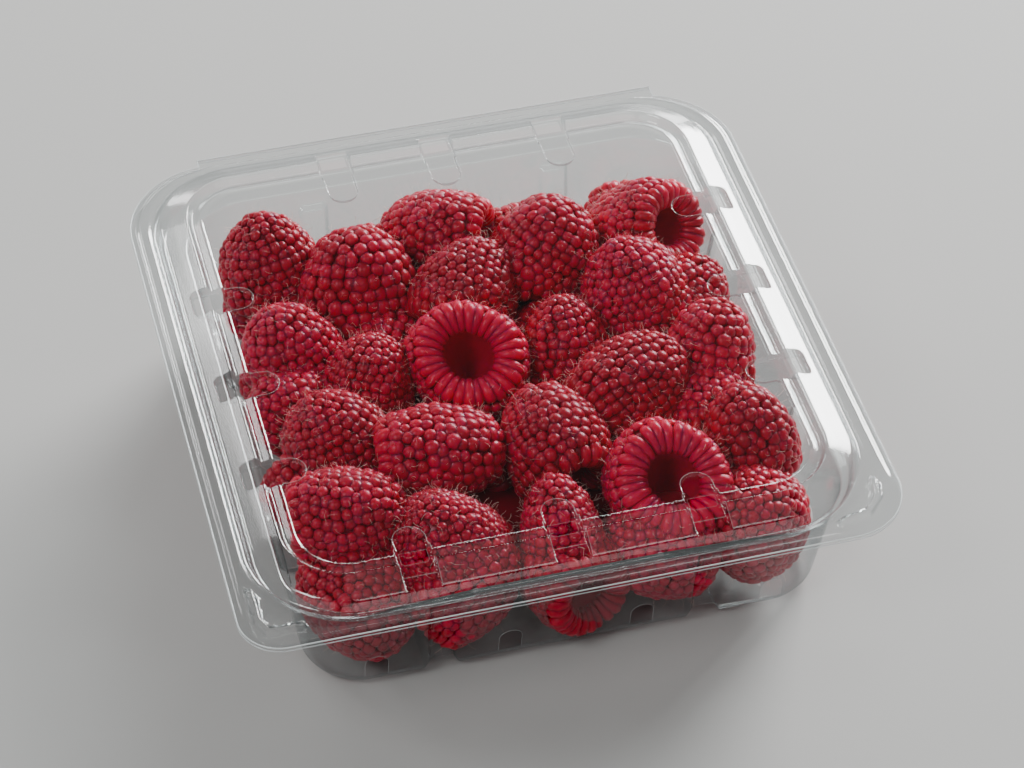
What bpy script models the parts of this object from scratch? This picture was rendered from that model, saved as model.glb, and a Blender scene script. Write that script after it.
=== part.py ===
"""Clear hinged punnet of raspberries: a tray, its lid, and the berries as one heap.

Metres, +Z up. The origin is the middle of the flange's box at the height of the surface that the
tray stands on. The front has the two opening corners, and the living hinge runs along the back.
"""

import math

import bmesh
import bpy
from mathutils import Matrix, Vector

MM = 0.001
SHEET = 0.5 * MM  # wall of the thermoformed sheet
GAP = 0.3 * MM  # clearance between pieces that touch
RIM_Z = 30.0 * MM  # plane where the lid's flange meets the tray's
TAB_SKIN = 0.03 * MM  # how far the hinge tab lies inside the flange's faces
ARC_STEPS = 7  # edges round each corner
BODY_SHIFT = 1.5 * MM  # how far the tray's well stands right of its flange

# One loop of the flange: half width, reach to the front and to the back, corner radii front left,
# front right and back, and height above the flange's own face.
EDGE = (62.5, 65.5, 63.2, 8.0, 12.0, 18.0)
LID_RINGS = (
    (*EDGE, 0.0),
    (61.3, 64.3, 62.5, 7.0, 11.0, 17.5, 0.0),
    (60.6, 63.5, 62.2, 17.0, 18.0, 17.5, 0.5),
    (59.3, 62.3, 61.9, 18.0, 18.5, 17.5, 0.55),
    (58.05, 61.05, 61.05, 19.5, 19.5, 17.0, 0.0),
    (56.5, 59.5, 59.5, 18.0, 18.0, 16.0, 1.9),
    (54.3, 57.3, 57.3, 16.0, 16.0, 14.0, 2.8),
    (51.45, 54.45, 54.45, 12.5, 12.5, 11.5, 3.9),
    (50.4, 53.4, 53.4, 11.5, 11.5, 10.5, 2.3),
    (48.8, 51.8, 51.8, 10.0, 10.0, 9.0, 2.9),
    (48.1, 51.1, 51.1, 9.3, 9.3, 8.5, 2.6),
)
TRAY_RINGS = (
    (57.9, 60.9, 60.9, 19.5, 19.5, 17.0, 0.0),
    (57.2, 60.2, 60.2, 19.0, 19.0, 16.5, -0.8),
    (56.3, 59.3, 59.3, 18.0, 18.0, 16.0, -3.4),
    (52.9, 55.9, 55.9, 13.0, 13.0, 13.0, -4.1),
    (49.9, 52.9, 52.9, 11.0, 11.0, 11.0, -26.4),
    (49.0, 52.0, 52.0, 10.2, 10.2, 10.2, -28.4),
    (47.0, 50.0, 50.0, 9.0, 9.0, 9.0, -29.35),
    (44.0, 47.0, 47.0, 7.0, 7.0, 7.0, -29.35),
)
LEDGE_RING = 3  # from this ring down the tray's well is shifted sideways
WALL_RING = 4  # the wall runs straight from the ledge to this ring
PLUG_DEPTH = 3.0 * MM  # how far a mould block goes on past the sheet's own face
CORE_FLARE = 2.0  # how far the lid's core reaches past the flange, in mm

# Vents cut across the lid's ridge: outer ends and round inner ends from the middle, by side.
VENT_WIDTH = 5.9 * MM
VENT_FLOOR = 1.7 * MM
VENT_DRAFT = 0.25 * MM
VENT_RISE = 6.0 * MM
SIDE_VENT = (43.2 * MM, 54.7 * MM)
FRONT_VENT = (45.3 * MM, 57.7 * MM)
BACK_VENT = (43.5 * MM, 57.7 * MM)
LEFT_VENTS = (20.9 * MM, -2.9 * MM, -26.1 * MM)
RIGHT_VENTS = (25.0 * MM, 1.3 * MM, -22.9 * MM)
FRONT_VENTS = (-28.9 * MM, -1.2 * MM, 25.1 * MM)
BACK_VENTS = (-19.3 * MM, 1.9 * MM, 25.7 * MM)
VENT_HOLE = (3.3 * MM, 5.2 * MM)  # along and across the vent
VENT_HOLE_INSET = 0.4 * MM  # from the vent's outer end

# Opening corners and the finger bar, raised on the front flange.
PAD_RISE = 1.4 * MM
PAD_DRAFT = 0.3 * MM
LEFT_PAD = ((-59.6, -51.5), (-59.6, -58.6), (-57.8, -62.3), (-51.0, -62.3))
RIGHT_PAD = ((48.0, -62.0), (54.2, -61.2), (57.6, -57.6), (57.9, -53.0))
FINGER_BAR = ((-21.0, -62.9), (15.0, -62.9), (15.0, -60.6), (-21.0, -60.6))

# The hinge tab carries both flanges back to the fold.
HINGE_Y = 65.5 * MM
TAB_SPAN = (-45.5 * MM, 50.5 * MM)
TAB_START_Y = 59.0 * MM

# Flutes down the tray's walls run on as channels under its floor.
FLUTES = (-25.4 * MM, 25.4 * MM)
FLUTE_MOUTH = 7.0 * MM
FLUTE_FLOOR = 3.6 * MM
FLUTE_DEPTH = 1.7 * MM
CHANNEL_DEPTH = 2.6 * MM
FLUTE_TOP_Z = RIM_Z - 7.5 * MM
# Drain slots low in the walls, between the flutes.
SLOTS = (-38.1 * MM, -12.7 * MM, 12.7 * MM, 38.1 * MM)
SLOT_WIDTH = 4.4 * MM
SLOT_LOW_Z = 3.4 * MM
SLOT_HIGH_Z = 9.4 * MM
SLOT_STEPS = 6
OVERSHOOT = 5.0 * MM  # how far cutters reach past what they cut

# The heap: a lower layer in rows between the channels, and an upper one as the berries lie.
BERRY_RADIUS = 10.4 * MM
UPPER_Z = RIM_Z - 8.4 * MM
LOWER_Z = 11.6 * MM
UPPER_BERRIES = (
    (-35.0, 42.0), (-19.7, 32.4), (-0.3, 42.4), (19.5, 32.4), (40.3, 35.0), (0.3, 24.4),
    (32.8, 15.5), (-37.2, 16.5), (-24.1, 5.6), (-3.7, 5.6), (16.0, 6.3), (41.4, -4.6),
    (-34.1, -8.3), (-15.9, -18.5), (6.0, -19.8), (23.5, -10.9), (40.9, -26.8), (23.5, -35.1),
    (-36.6, -30.0), (-20.3, -38.9), (1.6, -40.2),
)
CORE_RING = (45.0, 48.0, 48.0, 9.0, 9.0, 9.0, 0.0)
CORE_SPAN = (4.4 * MM, 17.0 * MM)  # the filled middle of the heap, between its lumps
HEAP_VOXEL = 1.5 * MM
HEAP_DETAIL = 0.065  # share of the remeshed faces that is kept


def clear_objects():
    """Removes every object."""
    for obj in list(bpy.data.objects):
        bpy.data.objects.remove(obj, do_unlink=True)


def make_material(name, colour, roughness, transmission=0.0):
    """A Principled material of one colour."""
    material = bpy.data.materials.new(name)
    material.use_nodes = True
    shader = material.node_tree.nodes["Principled BSDF"]
    shader.inputs["Base Color"].default_value = (*colour, 1.0)
    shader.inputs["Roughness"].default_value = roughness
    shader.inputs["Metallic"].default_value = 0.0
    shader.inputs["Transmission Weight"].default_value = transmission
    return material


def link_mesh(name, bm):
    """Links a closed mesh as a cutter, which is drawn as wire and never rendered."""
    bmesh.ops.recalc_face_normals(bm, faces=bm.faces)
    mesh = bpy.data.meshes.new(name)
    bm.to_mesh(mesh)
    bm.free()
    obj = bpy.data.objects.new(name, mesh)
    bpy.context.scene.collection.objects.link(obj)
    obj.hide_render = True
    obj.display_type = "WIRE"
    return obj


def finish(obj, material):
    """Turns a cutter's blank into a piece of the object."""
    obj.data.materials.append(material)
    obj.hide_render = False
    obj.display_type = "TEXTURED"
    return obj


def arc(centre, radius, start, steps):
    """Points of a quarter turn about centre, from the angle start."""
    angles = [start + math.pi / 2 * k / steps for k in range(steps + 1)]
    return [centre + radius * Vector((math.cos(a), math.sin(a))) for a in angles]


def ring_points(ring, shift=0.0):
    """One rounded rectangle, anticlockwise from its left front corner, as 3-D points."""
    half, front, back, front_left, front_right, rear, height = (MM * value for value in ring)
    corners = (
        (-half + front_left, -front + front_left, front_left, math.pi),
        (half - front_right, -front + front_right, front_right, math.pi * 1.5),
        (half - rear, back - rear, rear, 0.0),
        (-half + rear, back - rear, rear, math.pi * 0.5),
    )
    points = []
    for x, y, radius, start in corners:
        points += arc(Vector((x + shift, y)), radius, start, ARC_STEPS)
    return [Vector((p.x, p.y, height)) for p in points]


def offset_rings(rings, distance):
    """The rings of a sheet's upper face moved square to it, to its underside."""
    moved = []
    for i, ring in enumerate(rings):
        before, after = rings[max(i - 1, 0)], rings[min(i + 1, len(rings) - 1)]
        run = Vector((after[0] - before[0], after[6] - before[6])).normalized()
        out, up = -run.y * distance / MM, run.x * distance / MM
        moved.append((*(value + out for value in ring[:6]), ring[6] + up))
    return moved


def loft(name, loops):
    """A closed solid through loops of equal length, its first and last loop filled."""
    bm = bmesh.new()
    rows = [[bm.verts.new(point) for point in loop] for loop in loops]
    count = len(rows[0])
    for lower, upper in zip(rows, rows[1:]):
        for k in range(count):
            bm.faces.new((lower[k], lower[(k + 1) % count], upper[(k + 1) % count], upper[k]))
    bm.faces.new(rows[0])
    bm.faces.new(rows[-1])
    return link_mesh(name, bm)


def raised(points, height):
    """The points moved up by height."""
    return [point + Vector((0, 0, height)) for point in points]


def boolean(obj, operation, operands):
    """Adds one exact Boolean for each operand, in order."""
    for operand in operands:
        modifier = obj.modifiers.new(operand.name, "BOOLEAN")
        modifier.operation = operation
        modifier.solver = "EXACT"
        modifier.object = operand


def prism(name, outline, low, high, spread=0.0):
    """An upright prism on an outline of (x, y) points, its top wider or narrower by spread."""
    middle = sum((Vector(p) for p in outline), Vector((0, 0))) / len(outline)
    loops = []
    for z, grow in ((low, 0.0), (high, spread)):
        loop = []
        for point in outline:
            away = Vector(point) - middle
            scale = 1 + grow / away.length
            loop.append(Vector((*(middle + away * scale), z)))
        loops.append(loop)
    return loft(name, loops)


def vent_outline(inner, outer, along, turn, grow):
    """Round at its inner end and square at its outer one, grown by a margin all round."""
    half = VENT_WIDTH / 2 + grow
    centre = Vector((inner + VENT_WIDTH / 2, 0))
    tongue = arc(centre, half, math.pi / 2, ARC_STEPS)
    tongue += arc(centre, half, math.pi, ARC_STEPS)[1:]
    outline = [*tongue, Vector((outer + grow, -half)), Vector((outer + grow, half))]
    rotate = Matrix.Rotation(turn, 2)
    return [rotate @ (point + Vector((0, along))) for point in outline]


def vents():
    """Yields each vent's ends, its place along its side, and its side's direction."""
    for along in RIGHT_VENTS:
        yield SIDE_VENT, along, 0.0
    for along in BACK_VENTS:
        yield BACK_VENT, -along, math.pi * 0.5
    for along in LEFT_VENTS:
        yield SIDE_VENT, -along, math.pi
    for along in FRONT_VENTS:
        yield FRONT_VENT, along, math.pi * 1.5


def vent_cutters(label, grow, drop, base):
    """Upright cutters for all the vents, wider by grow and deeper by drop."""
    cutters = []
    for i, ((inner, outer), along, turn) in enumerate(vents()):
        outline = vent_outline(inner, outer, along, turn, grow)
        low = base + VENT_FLOOR - drop
        cutters.append(prism(f"{label}.{i}", outline, low, base + VENT_RISE, VENT_DRAFT))
    return cutters


def vent_holes(base):
    """Cutters for the air hole at each vent's outer end."""
    cutters = []
    length, width = VENT_HOLE
    for i, ((_, outer), along, turn) in enumerate(vents()):
        far = outer - VENT_HOLE_INSET
        corners = [(far - length, -width / 2), (far, -width / 2), (far, width / 2)]
        corners.append((far - length, width / 2))
        rotate = Matrix.Rotation(turn, 2)
        outline = [rotate @ (Vector(corner) + Vector((0, along))) for corner in corners]
        cutters.append(prism(f"vent_hole.{i}", outline, base, base + VENT_RISE))
    return cutters


def pad_blocks(label, base, shrink, top):
    """The opening corners and the finger bar, as solids to raise the mould with."""
    blocks = []
    for i, outline in enumerate((LEFT_PAD, RIGHT_PAD, FINGER_BAR)):
        points = [Vector(point) * MM for point in outline]
        middle = sum(points, Vector((0, 0))) / len(points)
        inset = [p - (p - middle).normalized() * shrink for p in points]
        low = base - PLUG_DEPTH / 2
        blocks.append(prism(f"{label}.{i}", inset, low, base + top, -PAD_DRAFT))
    return blocks


def hinge_tab(name, low, high):
    """A flat plate from the flange back to the fold, just inside the flange's two faces."""
    left, right = TAB_SPAN
    back = HINGE_Y - GAP / 2
    outline = [(left, TAB_START_Y), (right, TAB_START_Y), (right, back), (left, back)]
    return prism(name, outline, low + TAB_SKIN, high - TAB_SKIN)


def build_lid(material):
    """A mould block raised by its pads and cut by its vents, less the same block one sheet lower."""
    face = RIM_Z + GAP / 2 + SHEET
    rings = LID_RINGS
    low = offset_rings(rings, SHEET)
    outer = [raised(ring_points(rings[0]), face - PLUG_DEPTH)]
    outer += [raised(ring_points(ring), face) for ring in rings]
    wide = (*(value + CORE_FLARE for value in low[0][:3]), *low[0][3:])
    inner = [raised(ring_points(wide), face - PLUG_DEPTH * 2), raised(ring_points(wide), face)]
    inner += [raised(ring_points(ring), face) for ring in low[1:]]
    lid = finish(loft("lid", outer), material)
    core = loft("lid_core", inner)
    boolean(lid, "UNION", pad_blocks("pad", face, 0.0, PAD_RISE))
    boolean(lid, "DIFFERENCE", vent_cutters("vent", 0.0, 0.0, face))
    boolean(core, "UNION", pad_blocks("pad_core", face, SHEET, PAD_RISE - SHEET))
    boolean(core, "DIFFERENCE", vent_cutters("vent_core", SHEET, SHEET, face))
    boolean(lid, "DIFFERENCE", [core])
    boolean(lid, "DIFFERENCE", vent_holes(face))
    boolean(lid, "UNION", [hinge_tab("lid_tab", face - SHEET, face)])
    pivot = Vector((0, HINGE_Y, RIM_Z))
    lid.data.transform(Matrix.Translation(-pivot))
    lid.location = pivot


def tray_loops(rings, base):
    """The tray's loops, with those below its ledge shifted sideways."""
    loops = []
    for i, ring in enumerate(rings):
        shift = BODY_SHIFT if i >= LEDGE_RING else 0.0
        loops.append(raised(ring_points(ring, shift), base))
    return loops


def wall_reach(z):
    """How far the wall's outer face stands from the well's middle, sideways, at height z."""
    top, low = TRAY_RINGS[LEDGE_RING], TRAY_RINGS[WALL_RING]
    lean = (top[0] - low[0]) / (top[6] - low[6])
    face = RIM_Z - GAP / 2
    return SHEET + top[0] * MM + lean * (z - face - top[6] * MM)


def groove(name, start, end, across, outward, grow):
    """A cutter for a groove with sloping sides from start to end, on a face that looks outward."""
    section = (
        (-FLUTE_MOUTH / 2 - grow, OVERSHOOT),
        (-FLUTE_MOUTH / 2 - grow, 0.0),
        (-FLUTE_FLOOR / 2 - grow, -1.0),
        (FLUTE_FLOOR / 2 + grow, -1.0),
        (FLUTE_MOUTH / 2 + grow, 0.0),
        (FLUTE_MOUTH / 2 + grow, OVERSHOOT),
    )
    depth = grow + (FLUTE_DEPTH if outward.z == 0 else CHANNEL_DEPTH)
    loops = []
    for point in (start, end):
        loop = []
        for side, height in section:
            rise = -depth if height < 0 else height
            loop.append(point + across * side + outward * rise)
        loops.append(loop)
    return loft(name, loops)


def sides():
    """Yields each wall's outward direction, its direction along, and its extra reach."""
    deeper = (TRAY_RINGS[0][1] - TRAY_RINGS[0][0]) * MM
    yield Vector((0, -1, 0)), Vector((1, 0, 0)), deeper
    yield Vector((1, 0, 0)), Vector((0, 1, 0)), 0.0
    yield Vector((0, 1, 0)), Vector((1, 0, 0)), deeper
    yield Vector((-1, 0, 0)), Vector((0, 1, 0)), 0.0


def flute_cutters(label, grow):
    """Cutters for the flutes down the four walls and the channels under the floor."""
    middle = Vector((BODY_SHIFT, 0, 0))
    cutters = []
    top_z = FLUTE_TOP_Z + grow
    for i, (outward, along, extra) in enumerate(sides()):
        for k, place in enumerate(FLUTES):
            foot = middle + along * place
            start = foot + outward * (wall_reach(top_z) + extra) + Vector((0, 0, top_z))
            end = foot + outward * (wall_reach(-OVERSHOOT) + extra) - Vector((0, 0, OVERSHOOT))
            cutters.append(groove(f"{label}.{i}.{k}", start, end, along, outward, grow))
    down = Vector((0, 0, -1))
    for i, (outward, along, extra) in enumerate(list(sides())[:2]):
        for k, place in enumerate(FLUTES):
            reach = outward * (wall_reach(0) + extra + OVERSHOOT)
            foot = middle + along * place
            name = f"{label}.floor.{i}.{k}"
            cutters.append(groove(name, foot - reach, foot + reach, along, down, grow))
    return cutters


def slot_cutters():
    """Drain slots low in the walls, square below and round above, four to a side."""
    radius = SLOT_WIDTH / 2
    top = arc(Vector((0, SLOT_HIGH_Z - radius)), radius, 0.0, SLOT_STEPS)
    top += arc(Vector((0, SLOT_HIGH_Z - radius)), radius, math.pi / 2, SLOT_STEPS)[1:]
    outline = [Vector((-radius, SLOT_LOW_Z)), Vector((radius, SLOT_LOW_Z)), *top]
    cutters = []
    for i, (outward, along, extra) in enumerate(sides()):
        near = wall_reach(SLOT_LOW_Z) + extra - OVERSHOOT
        for k, place in enumerate(SLOTS):
            foot = Vector((BODY_SHIFT, 0, 0)) + along * place
            loops = []
            for reach in (near, near + OVERSHOOT * 2):
                centre = foot + outward * reach
                loops.append([centre + along * p.x + Vector((0, 0, p.y)) for p in outline])
            cutters.append(loft(f"slot.{i}.{k}", loops))
    return cutters


def build_tray(material):
    """The block outside the sheet, less the space inside it, both cut by the flutes."""
    face = RIM_Z - GAP / 2
    low = offset_rings((EDGE + (0.0,), *TRAY_RINGS), SHEET)
    edge = raised(ring_points(EDGE + (0.0,)), face)
    under_edge = raised(edge, -SHEET)
    tray = finish(loft("tray", [edge, under_edge, *tray_loops(low[1:], face)]), material)
    space = tray_loops(TRAY_RINGS, face)
    hollow = loft("tray_space", [raised(space[0], OVERSHOOT), *space])
    boolean(tray, "DIFFERENCE", flute_cutters("flute", 0.0))
    boolean(hollow, "DIFFERENCE", flute_cutters("flute_wall", SHEET))
    boolean(tray, "DIFFERENCE", [hollow])
    boolean(tray, "DIFFERENCE", slot_cutters())
    boolean(tray, "UNION", [hinge_tab("tray_tab", face - SHEET, face)])


def build_berries(material):
    """The heap as one lumpy solid: a ball for each berry, grown together over a filled middle."""
    bm = bmesh.new()
    places = [(x * MM, y * MM, UPPER_Z) for x, y in UPPER_BERRIES]
    places += [(x + BODY_SHIFT, y, LOWER_Z) for x in SLOTS for y in SLOTS]
    for place in places:
        matrix = Matrix.Translation(place)
        bmesh.ops.create_icosphere(bm, subdivisions=3, radius=BERRY_RADIUS, matrix=matrix)
    low, high = CORE_SPAN
    core = ring_points(CORE_RING, BODY_SHIFT)
    rows = [[bm.verts.new(p) for p in raised(core, z)] for z in (low, high)]
    count = len(core)
    for k in range(count):
        after = (k + 1) % count
        bm.faces.new((rows[0][k], rows[0][after], rows[1][after], rows[1][k]))
    bm.faces.new(rows[0][::-1])
    bm.faces.new(rows[1])
    heap = finish(link_mesh("berries", bm), material)
    remesh = heap.modifiers.new("grown_together", "REMESH")
    remesh.mode = "VOXEL"
    remesh.voxel_size = HEAP_VOXEL
    decimate = heap.modifiers.new("coarser", "DECIMATE")
    decimate.ratio = HEAP_DETAIL


def main():
    clear_objects()
    clear = make_material("clear_pet", (0.86, 0.88, 0.89), 0.05, 1.0)
    fruit = make_material("raspberry", (0.45, 0.015, 0.03), 0.45)
    build_lid(clear)
    build_tray(clear)
    build_berries(fruit)


main()
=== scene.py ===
"""Looks of a clear hinged punnet of raspberries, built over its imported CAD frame.

Lengths in the classes are millimetres in the frame's own axes and turn to metres in to_mesh.
"""

import logging
import math
from dataclasses import dataclass, field
from enum import Enum
from functools import partial
from typing import Any, Callable, Iterator, Sequence

import bmesh
import bpy
import numpy as np
from bpy.types import GeometryNodeTree, Material, Mesh, Node, NodeSocket, NodeTree, Object
from mathutils import Matrix, Vector
from mathutils.geometry import delaunay_2d_cdt


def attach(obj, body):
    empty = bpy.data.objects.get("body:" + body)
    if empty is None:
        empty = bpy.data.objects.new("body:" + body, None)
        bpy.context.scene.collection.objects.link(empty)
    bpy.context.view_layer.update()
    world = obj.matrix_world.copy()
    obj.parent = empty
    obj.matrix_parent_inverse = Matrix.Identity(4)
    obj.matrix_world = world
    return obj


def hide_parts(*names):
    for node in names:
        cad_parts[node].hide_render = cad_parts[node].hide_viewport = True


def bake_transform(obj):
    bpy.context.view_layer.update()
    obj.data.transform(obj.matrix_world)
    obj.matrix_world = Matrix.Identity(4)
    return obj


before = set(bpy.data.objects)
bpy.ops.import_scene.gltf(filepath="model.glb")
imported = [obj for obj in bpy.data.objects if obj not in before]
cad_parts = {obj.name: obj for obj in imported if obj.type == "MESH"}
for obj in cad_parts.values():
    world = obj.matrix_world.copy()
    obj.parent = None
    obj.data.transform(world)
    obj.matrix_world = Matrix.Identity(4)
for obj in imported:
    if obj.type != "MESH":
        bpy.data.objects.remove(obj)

logging.basicConfig(level=logging.INFO, format="%(message)s")
LOG = logging.getLogger("punnet")

MM = 0.001
RIM_Z = 30.0  # plane where the lid's flange meets the tray's
SHEET = 0.5  # thickness of the thermoformed sheet
GAP = 0.3  # clearance between the two flanges
LID_Z = RIM_Z + (GAP + SHEET) / 2  # middle of the lid's flange
TRAY_Z = RIM_Z - (GAP + SHEET) / 2
WELL_SHIFT = 1.5  # how far the tray's well stands right of its flange
EDGE = (62.5, 65.5, 63.2, 8.0, 12.0, 18.0, 0.0)
TAB = (-45.5, 50.5, 65.3)  # left end, right end and back of the hinge tab
# run and outward direction of the front, right, back and left sides
SIDES = (((1, 0), (0, -1)), ((0, 1), (1, 0)), ((-1, 0), (0, 1)), ((0, -1), (-1, 0)))
SHADES = (0.44, 0.66)  # tones of the dullest and the brightest drupelet
CLOSE = 1e-6  # lengths nearer than this are the same

Array = np.ndarray
Pair = tuple[float, float]  # a point or a span
Triple = tuple[float, float, float]
Adder = Callable[..., Node]  # add_node with its tree already given


class Slot(Enum):
    """The material slots."""

    CLEAR = "clear_pet"
    FRUIT = "raspberry"


class Body(Enum):
    """The frame's bodies."""

    TRAY = "tray"
    LID = "lid"


# ---------- helpers


def srgb(code: str) -> tuple[float, float, float, float]:
    """Turns an sRGB hex colour to linear values.

    Args:
        code: six hex digits after a hash.
    Returns:
        Linear red, green and blue, and an alpha of one.
    """
    values = [int(code[i : i + 2], 16) / 255 for i in (1, 3, 5)]
    linear = [v / 12.92 if v <= 0.04045 else ((v + 0.055) / 1.055) ** 2.4 for v in values]
    return (linear[0], linear[1], linear[2], 1.0)


def add_node(tree: NodeTree, kind: str, inputs: dict | None = None, **settings: Any) -> Node:
    """Adds a node with its settings, and sets or links its inputs.

    Args:
        tree: the tree that gets the node.
        kind: the node's type name.
        inputs: by input name or number, values, output sockets or whole nodes. A node stands
            for its first output.
        settings: the node's own properties.
    Returns:
        The new node.
    """
    node = tree.nodes.new(kind)
    for name, value in settings.items():
        setattr(node, name, value)
    for key, value in (inputs or {}).items():
        if isinstance(value, Node):
            value = value.outputs[0]
        if isinstance(value, NodeSocket):
            tree.links.new(value, node.inputs[key])
        else:
            node.inputs[key].default_value = value
    return node


class Look:
    """A kind of finish. Each kind builds its own surface."""

    def surface(self, add: Adder) -> Node:
        """Builds the shader.

        Args:
            add: adds a node to the material's empty tree.
        Returns:
            The node whose first output is the surface.
        """
        raise NotImplementedError

    def make(self, name: str) -> Material:
        """Builds the material.

        Args:
            name: the material's name.
        Returns:
            The material.
        """
        material = bpy.data.materials.new(name)
        material.use_nodes = True
        tree = material.node_tree
        tree.nodes.clear()
        add = partial(add_node, tree)
        out = add("ShaderNodeOutputMaterial")
        tree.links.new(self.surface(add).outputs[0], out.inputs["Surface"])
        return material


def smooth(t: Array) -> Array:
    """Eases 0 to 1 with level ends."""
    t = np.clip(t, 0.0, 1.0)
    return t * t * (3 - 2 * t)


def to_object(name: str, mesh: Mesh) -> Object:
    """Links a mesh as an object at the origin."""
    piece = bpy.data.objects.new(name, mesh)
    bpy.context.scene.collection.objects.link(piece)
    return piece


def to_mesh(
    name: str,
    points: Array,
    faces: Sequence[Sequence[int]],
    material: Material | None = None,
    edges: Sequence[Sequence[int]] = (),
) -> Mesh:
    """Makes a smooth-shaded mesh from points in millimetres.

    Args:
        name: the mesh's name.
        points: one row of x, y, z for each vertex.
        faces: vertex numbers of each face.
        material: what it is made of, if it is shown.
        edges: loose edges, for wires.
    Returns:
        The mesh, in metres.
    """
    mesh = bpy.data.meshes.new(name)
    mesh.from_pydata((np.asarray(points) * MM).tolist(), list(edges), list(faces))
    mesh.polygons.foreach_set("use_smooth", [True] * len(mesh.polygons))
    if material:
        mesh.materials.append(material)
    mesh.update()
    return mesh


def apply_tree(piece: Object, tree: GeometryNodeTree, values: dict[str, Any]) -> Object:
    """Runs a node tree on a piece and keeps the result as its plain mesh.

    Args:
        piece: the object whose mesh goes in.
        tree: the tree to run.
        values: the tree's named inputs.
    Returns:
        The same object with its new mesh.
    """
    modifier = piece.modifiers.new(tree.name, "NODES")
    modifier.node_group = tree
    for item in tree.interface.items_tree:
        if item.in_out == "INPUT" and item.name in values:
            modifier[item.identifier] = values[item.name]
    evaluated = piece.evaluated_get(bpy.context.evaluated_depsgraph_get())
    mesh = bpy.data.meshes.new_from_object(evaluated)
    mesh.name = piece.name
    piece.modifiers.clear()
    piece.data = mesh
    return piece


def new_tree(name: str, inputs: dict[str, Any]) -> tuple[GeometryNodeTree, Node, Node]:
    """Makes a geometry tree with named inputs.

    Args:
        name: the tree's name.
        inputs: socket type and default value by input name.
    Returns:
        The tree, its group input and its group output.
    """
    tree = bpy.data.node_groups.new(name, "GeometryNodeTree")
    tree.interface.new_socket("Geometry", in_out="INPUT", socket_type="NodeSocketGeometry")
    for label, (kind, value) in inputs.items():
        socket = tree.interface.new_socket(label, in_out="INPUT", socket_type=kind)
        if value is not None:
            socket.default_value = value
    tree.interface.new_socket("Geometry", in_out="OUTPUT", socket_type="NodeSocketGeometry")
    return tree, tree.nodes.new("NodeGroupInput"), tree.nodes.new("NodeGroupOutput")


def dress(tree: GeometryNodeTree, shape: Node, start: Node, end: Node) -> None:
    """Ends a geometry tree: makes its copies real and gives them their material.

    Args:
        tree: the tree.
        shape: the node that gives the geometry made so far.
        start: the tree's group input, which has the material.
        end: the tree's group output.
    """
    whole = add_node(tree, "GeometryNodeRealizeInstances", {"Geometry": shape})
    dressed = add_node(
        tree, "GeometryNodeSetMaterial", {"Geometry": whole, "Material": start.outputs["Material"]}
    )
    tree.links.new(dressed.outputs[0], end.inputs["Geometry"])


def settle(piece: Object, body: Body, slot: Slot, *nodes: str) -> Object:
    """Hangs a finished piece on its body.

    Args:
        piece: the finished object.
        body: the body it moves with.
        slot: the material slot meant for its finish; not used.
        nodes: CAD nodes that it stands for.
    Returns:
        The same object.
    """
    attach(piece, body.value)
    if nodes:
        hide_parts(*nodes)
    triangles = sum(len(face.vertices) - 2 for face in piece.data.polygons)
    LOG.info("%s: %d triangles on %s", piece.name, triangles, body.value)
    return piece


# ---------- finishes


@dataclass(frozen=True)
class ThermoformedPet(Look):
    """Clear PET sheet, vacuum formed: glass-clear, with a wet gloss and a faint haze."""

    head_on: float = 0.075  # both faces of the sheet reflect about this much between them
    roughness: float = 0.13
    clear: str = "#FBFDFD"
    grazing: str = "#929C9F"
    haze: float = 0.002
    milk: str = "#F4F6F6"
    ripple_mm: float = 15.0  # slow waves left by the mould's cooling
    ripple_depth: float = 0.05 * MM

    def surface(self, add: Adder) -> Node:
        """Builds the shader with the adder and returns its last node."""
        place = add("ShaderNodeTexCoord").outputs["Object"]
        ripple = add(
            "ShaderNodeTexNoise", {"Vector": place, "Scale": 1000 / self.ripple_mm, "Detail": 0.0}
        )
        wave = add(
            "ShaderNodeBump",
            {"Height": ripple.outputs["Fac"], "Strength": 1.0, "Distance": self.ripple_depth},
        ).outputs["Normal"]
        facing = add("ShaderNodeLayerWeight", {"Blend": 0.5, "Normal": wave})
        fifth = add("ShaderNodeMath", {0: facing.outputs["Facing"], 1: 5.0}, operation="POWER")
        mirror = add(
            "ShaderNodeMath",
            {0: fifth, 1: 1 - self.head_on, 2: self.head_on},
            operation="MULTIPLY_ADD",
            use_clamp=True,
        )
        depth = add("ShaderNodeMath", {0: facing.outputs["Facing"], 1: 2.0}, operation="POWER")
        tint = add(
            "ShaderNodeMix", {0: depth, 6: srgb(self.clear), 7: srgb(self.grazing)}, data_type="RGBA"
        )
        through = add("ShaderNodeBsdfTransparent", {"Color": tint.outputs[2]})
        milk = add("ShaderNodeBsdfDiffuse", {"Color": srgb(self.milk)})
        film = add("ShaderNodeMixShader", {0: self.haze, 1: through, 2: milk})
        gloss = add(
            "ShaderNodeBsdfAnisotropic",
            {"Color": srgb("#FFFFFF"), "Roughness": self.roughness, "Normal": wave},
        )
        return add("ShaderNodeMixShader", {0: mirror, 1: film, 2: gloss})


@dataclass(frozen=True)
class PaintedPetHighlight(Look):
    """Painted highlight for the PET sheet's cut edges, hole edges and sharp bends: a whitish half-clear
    bead that stands in for the light a real cut edge or tight bend gathers into a bright line.
    """

    # painted highlight colour
    colour: str = "#F3F8F8"
    clearness: float = 0.5

    def surface(self, add: Adder) -> Node:
        """Builds the shader with the adder and returns its last node."""
        body = add(
            "ShaderNodeBsdfPrincipled", {"Base Color": srgb(self.colour), "Roughness": 0.2, "IOR": 1.57}
        )
        through = add("ShaderNodeBsdfTransparent", {"Color": srgb("#FFFFFF")})
        return add("ShaderNodeMixShader", {0: self.clearness, 1: body, 2: through})


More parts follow.
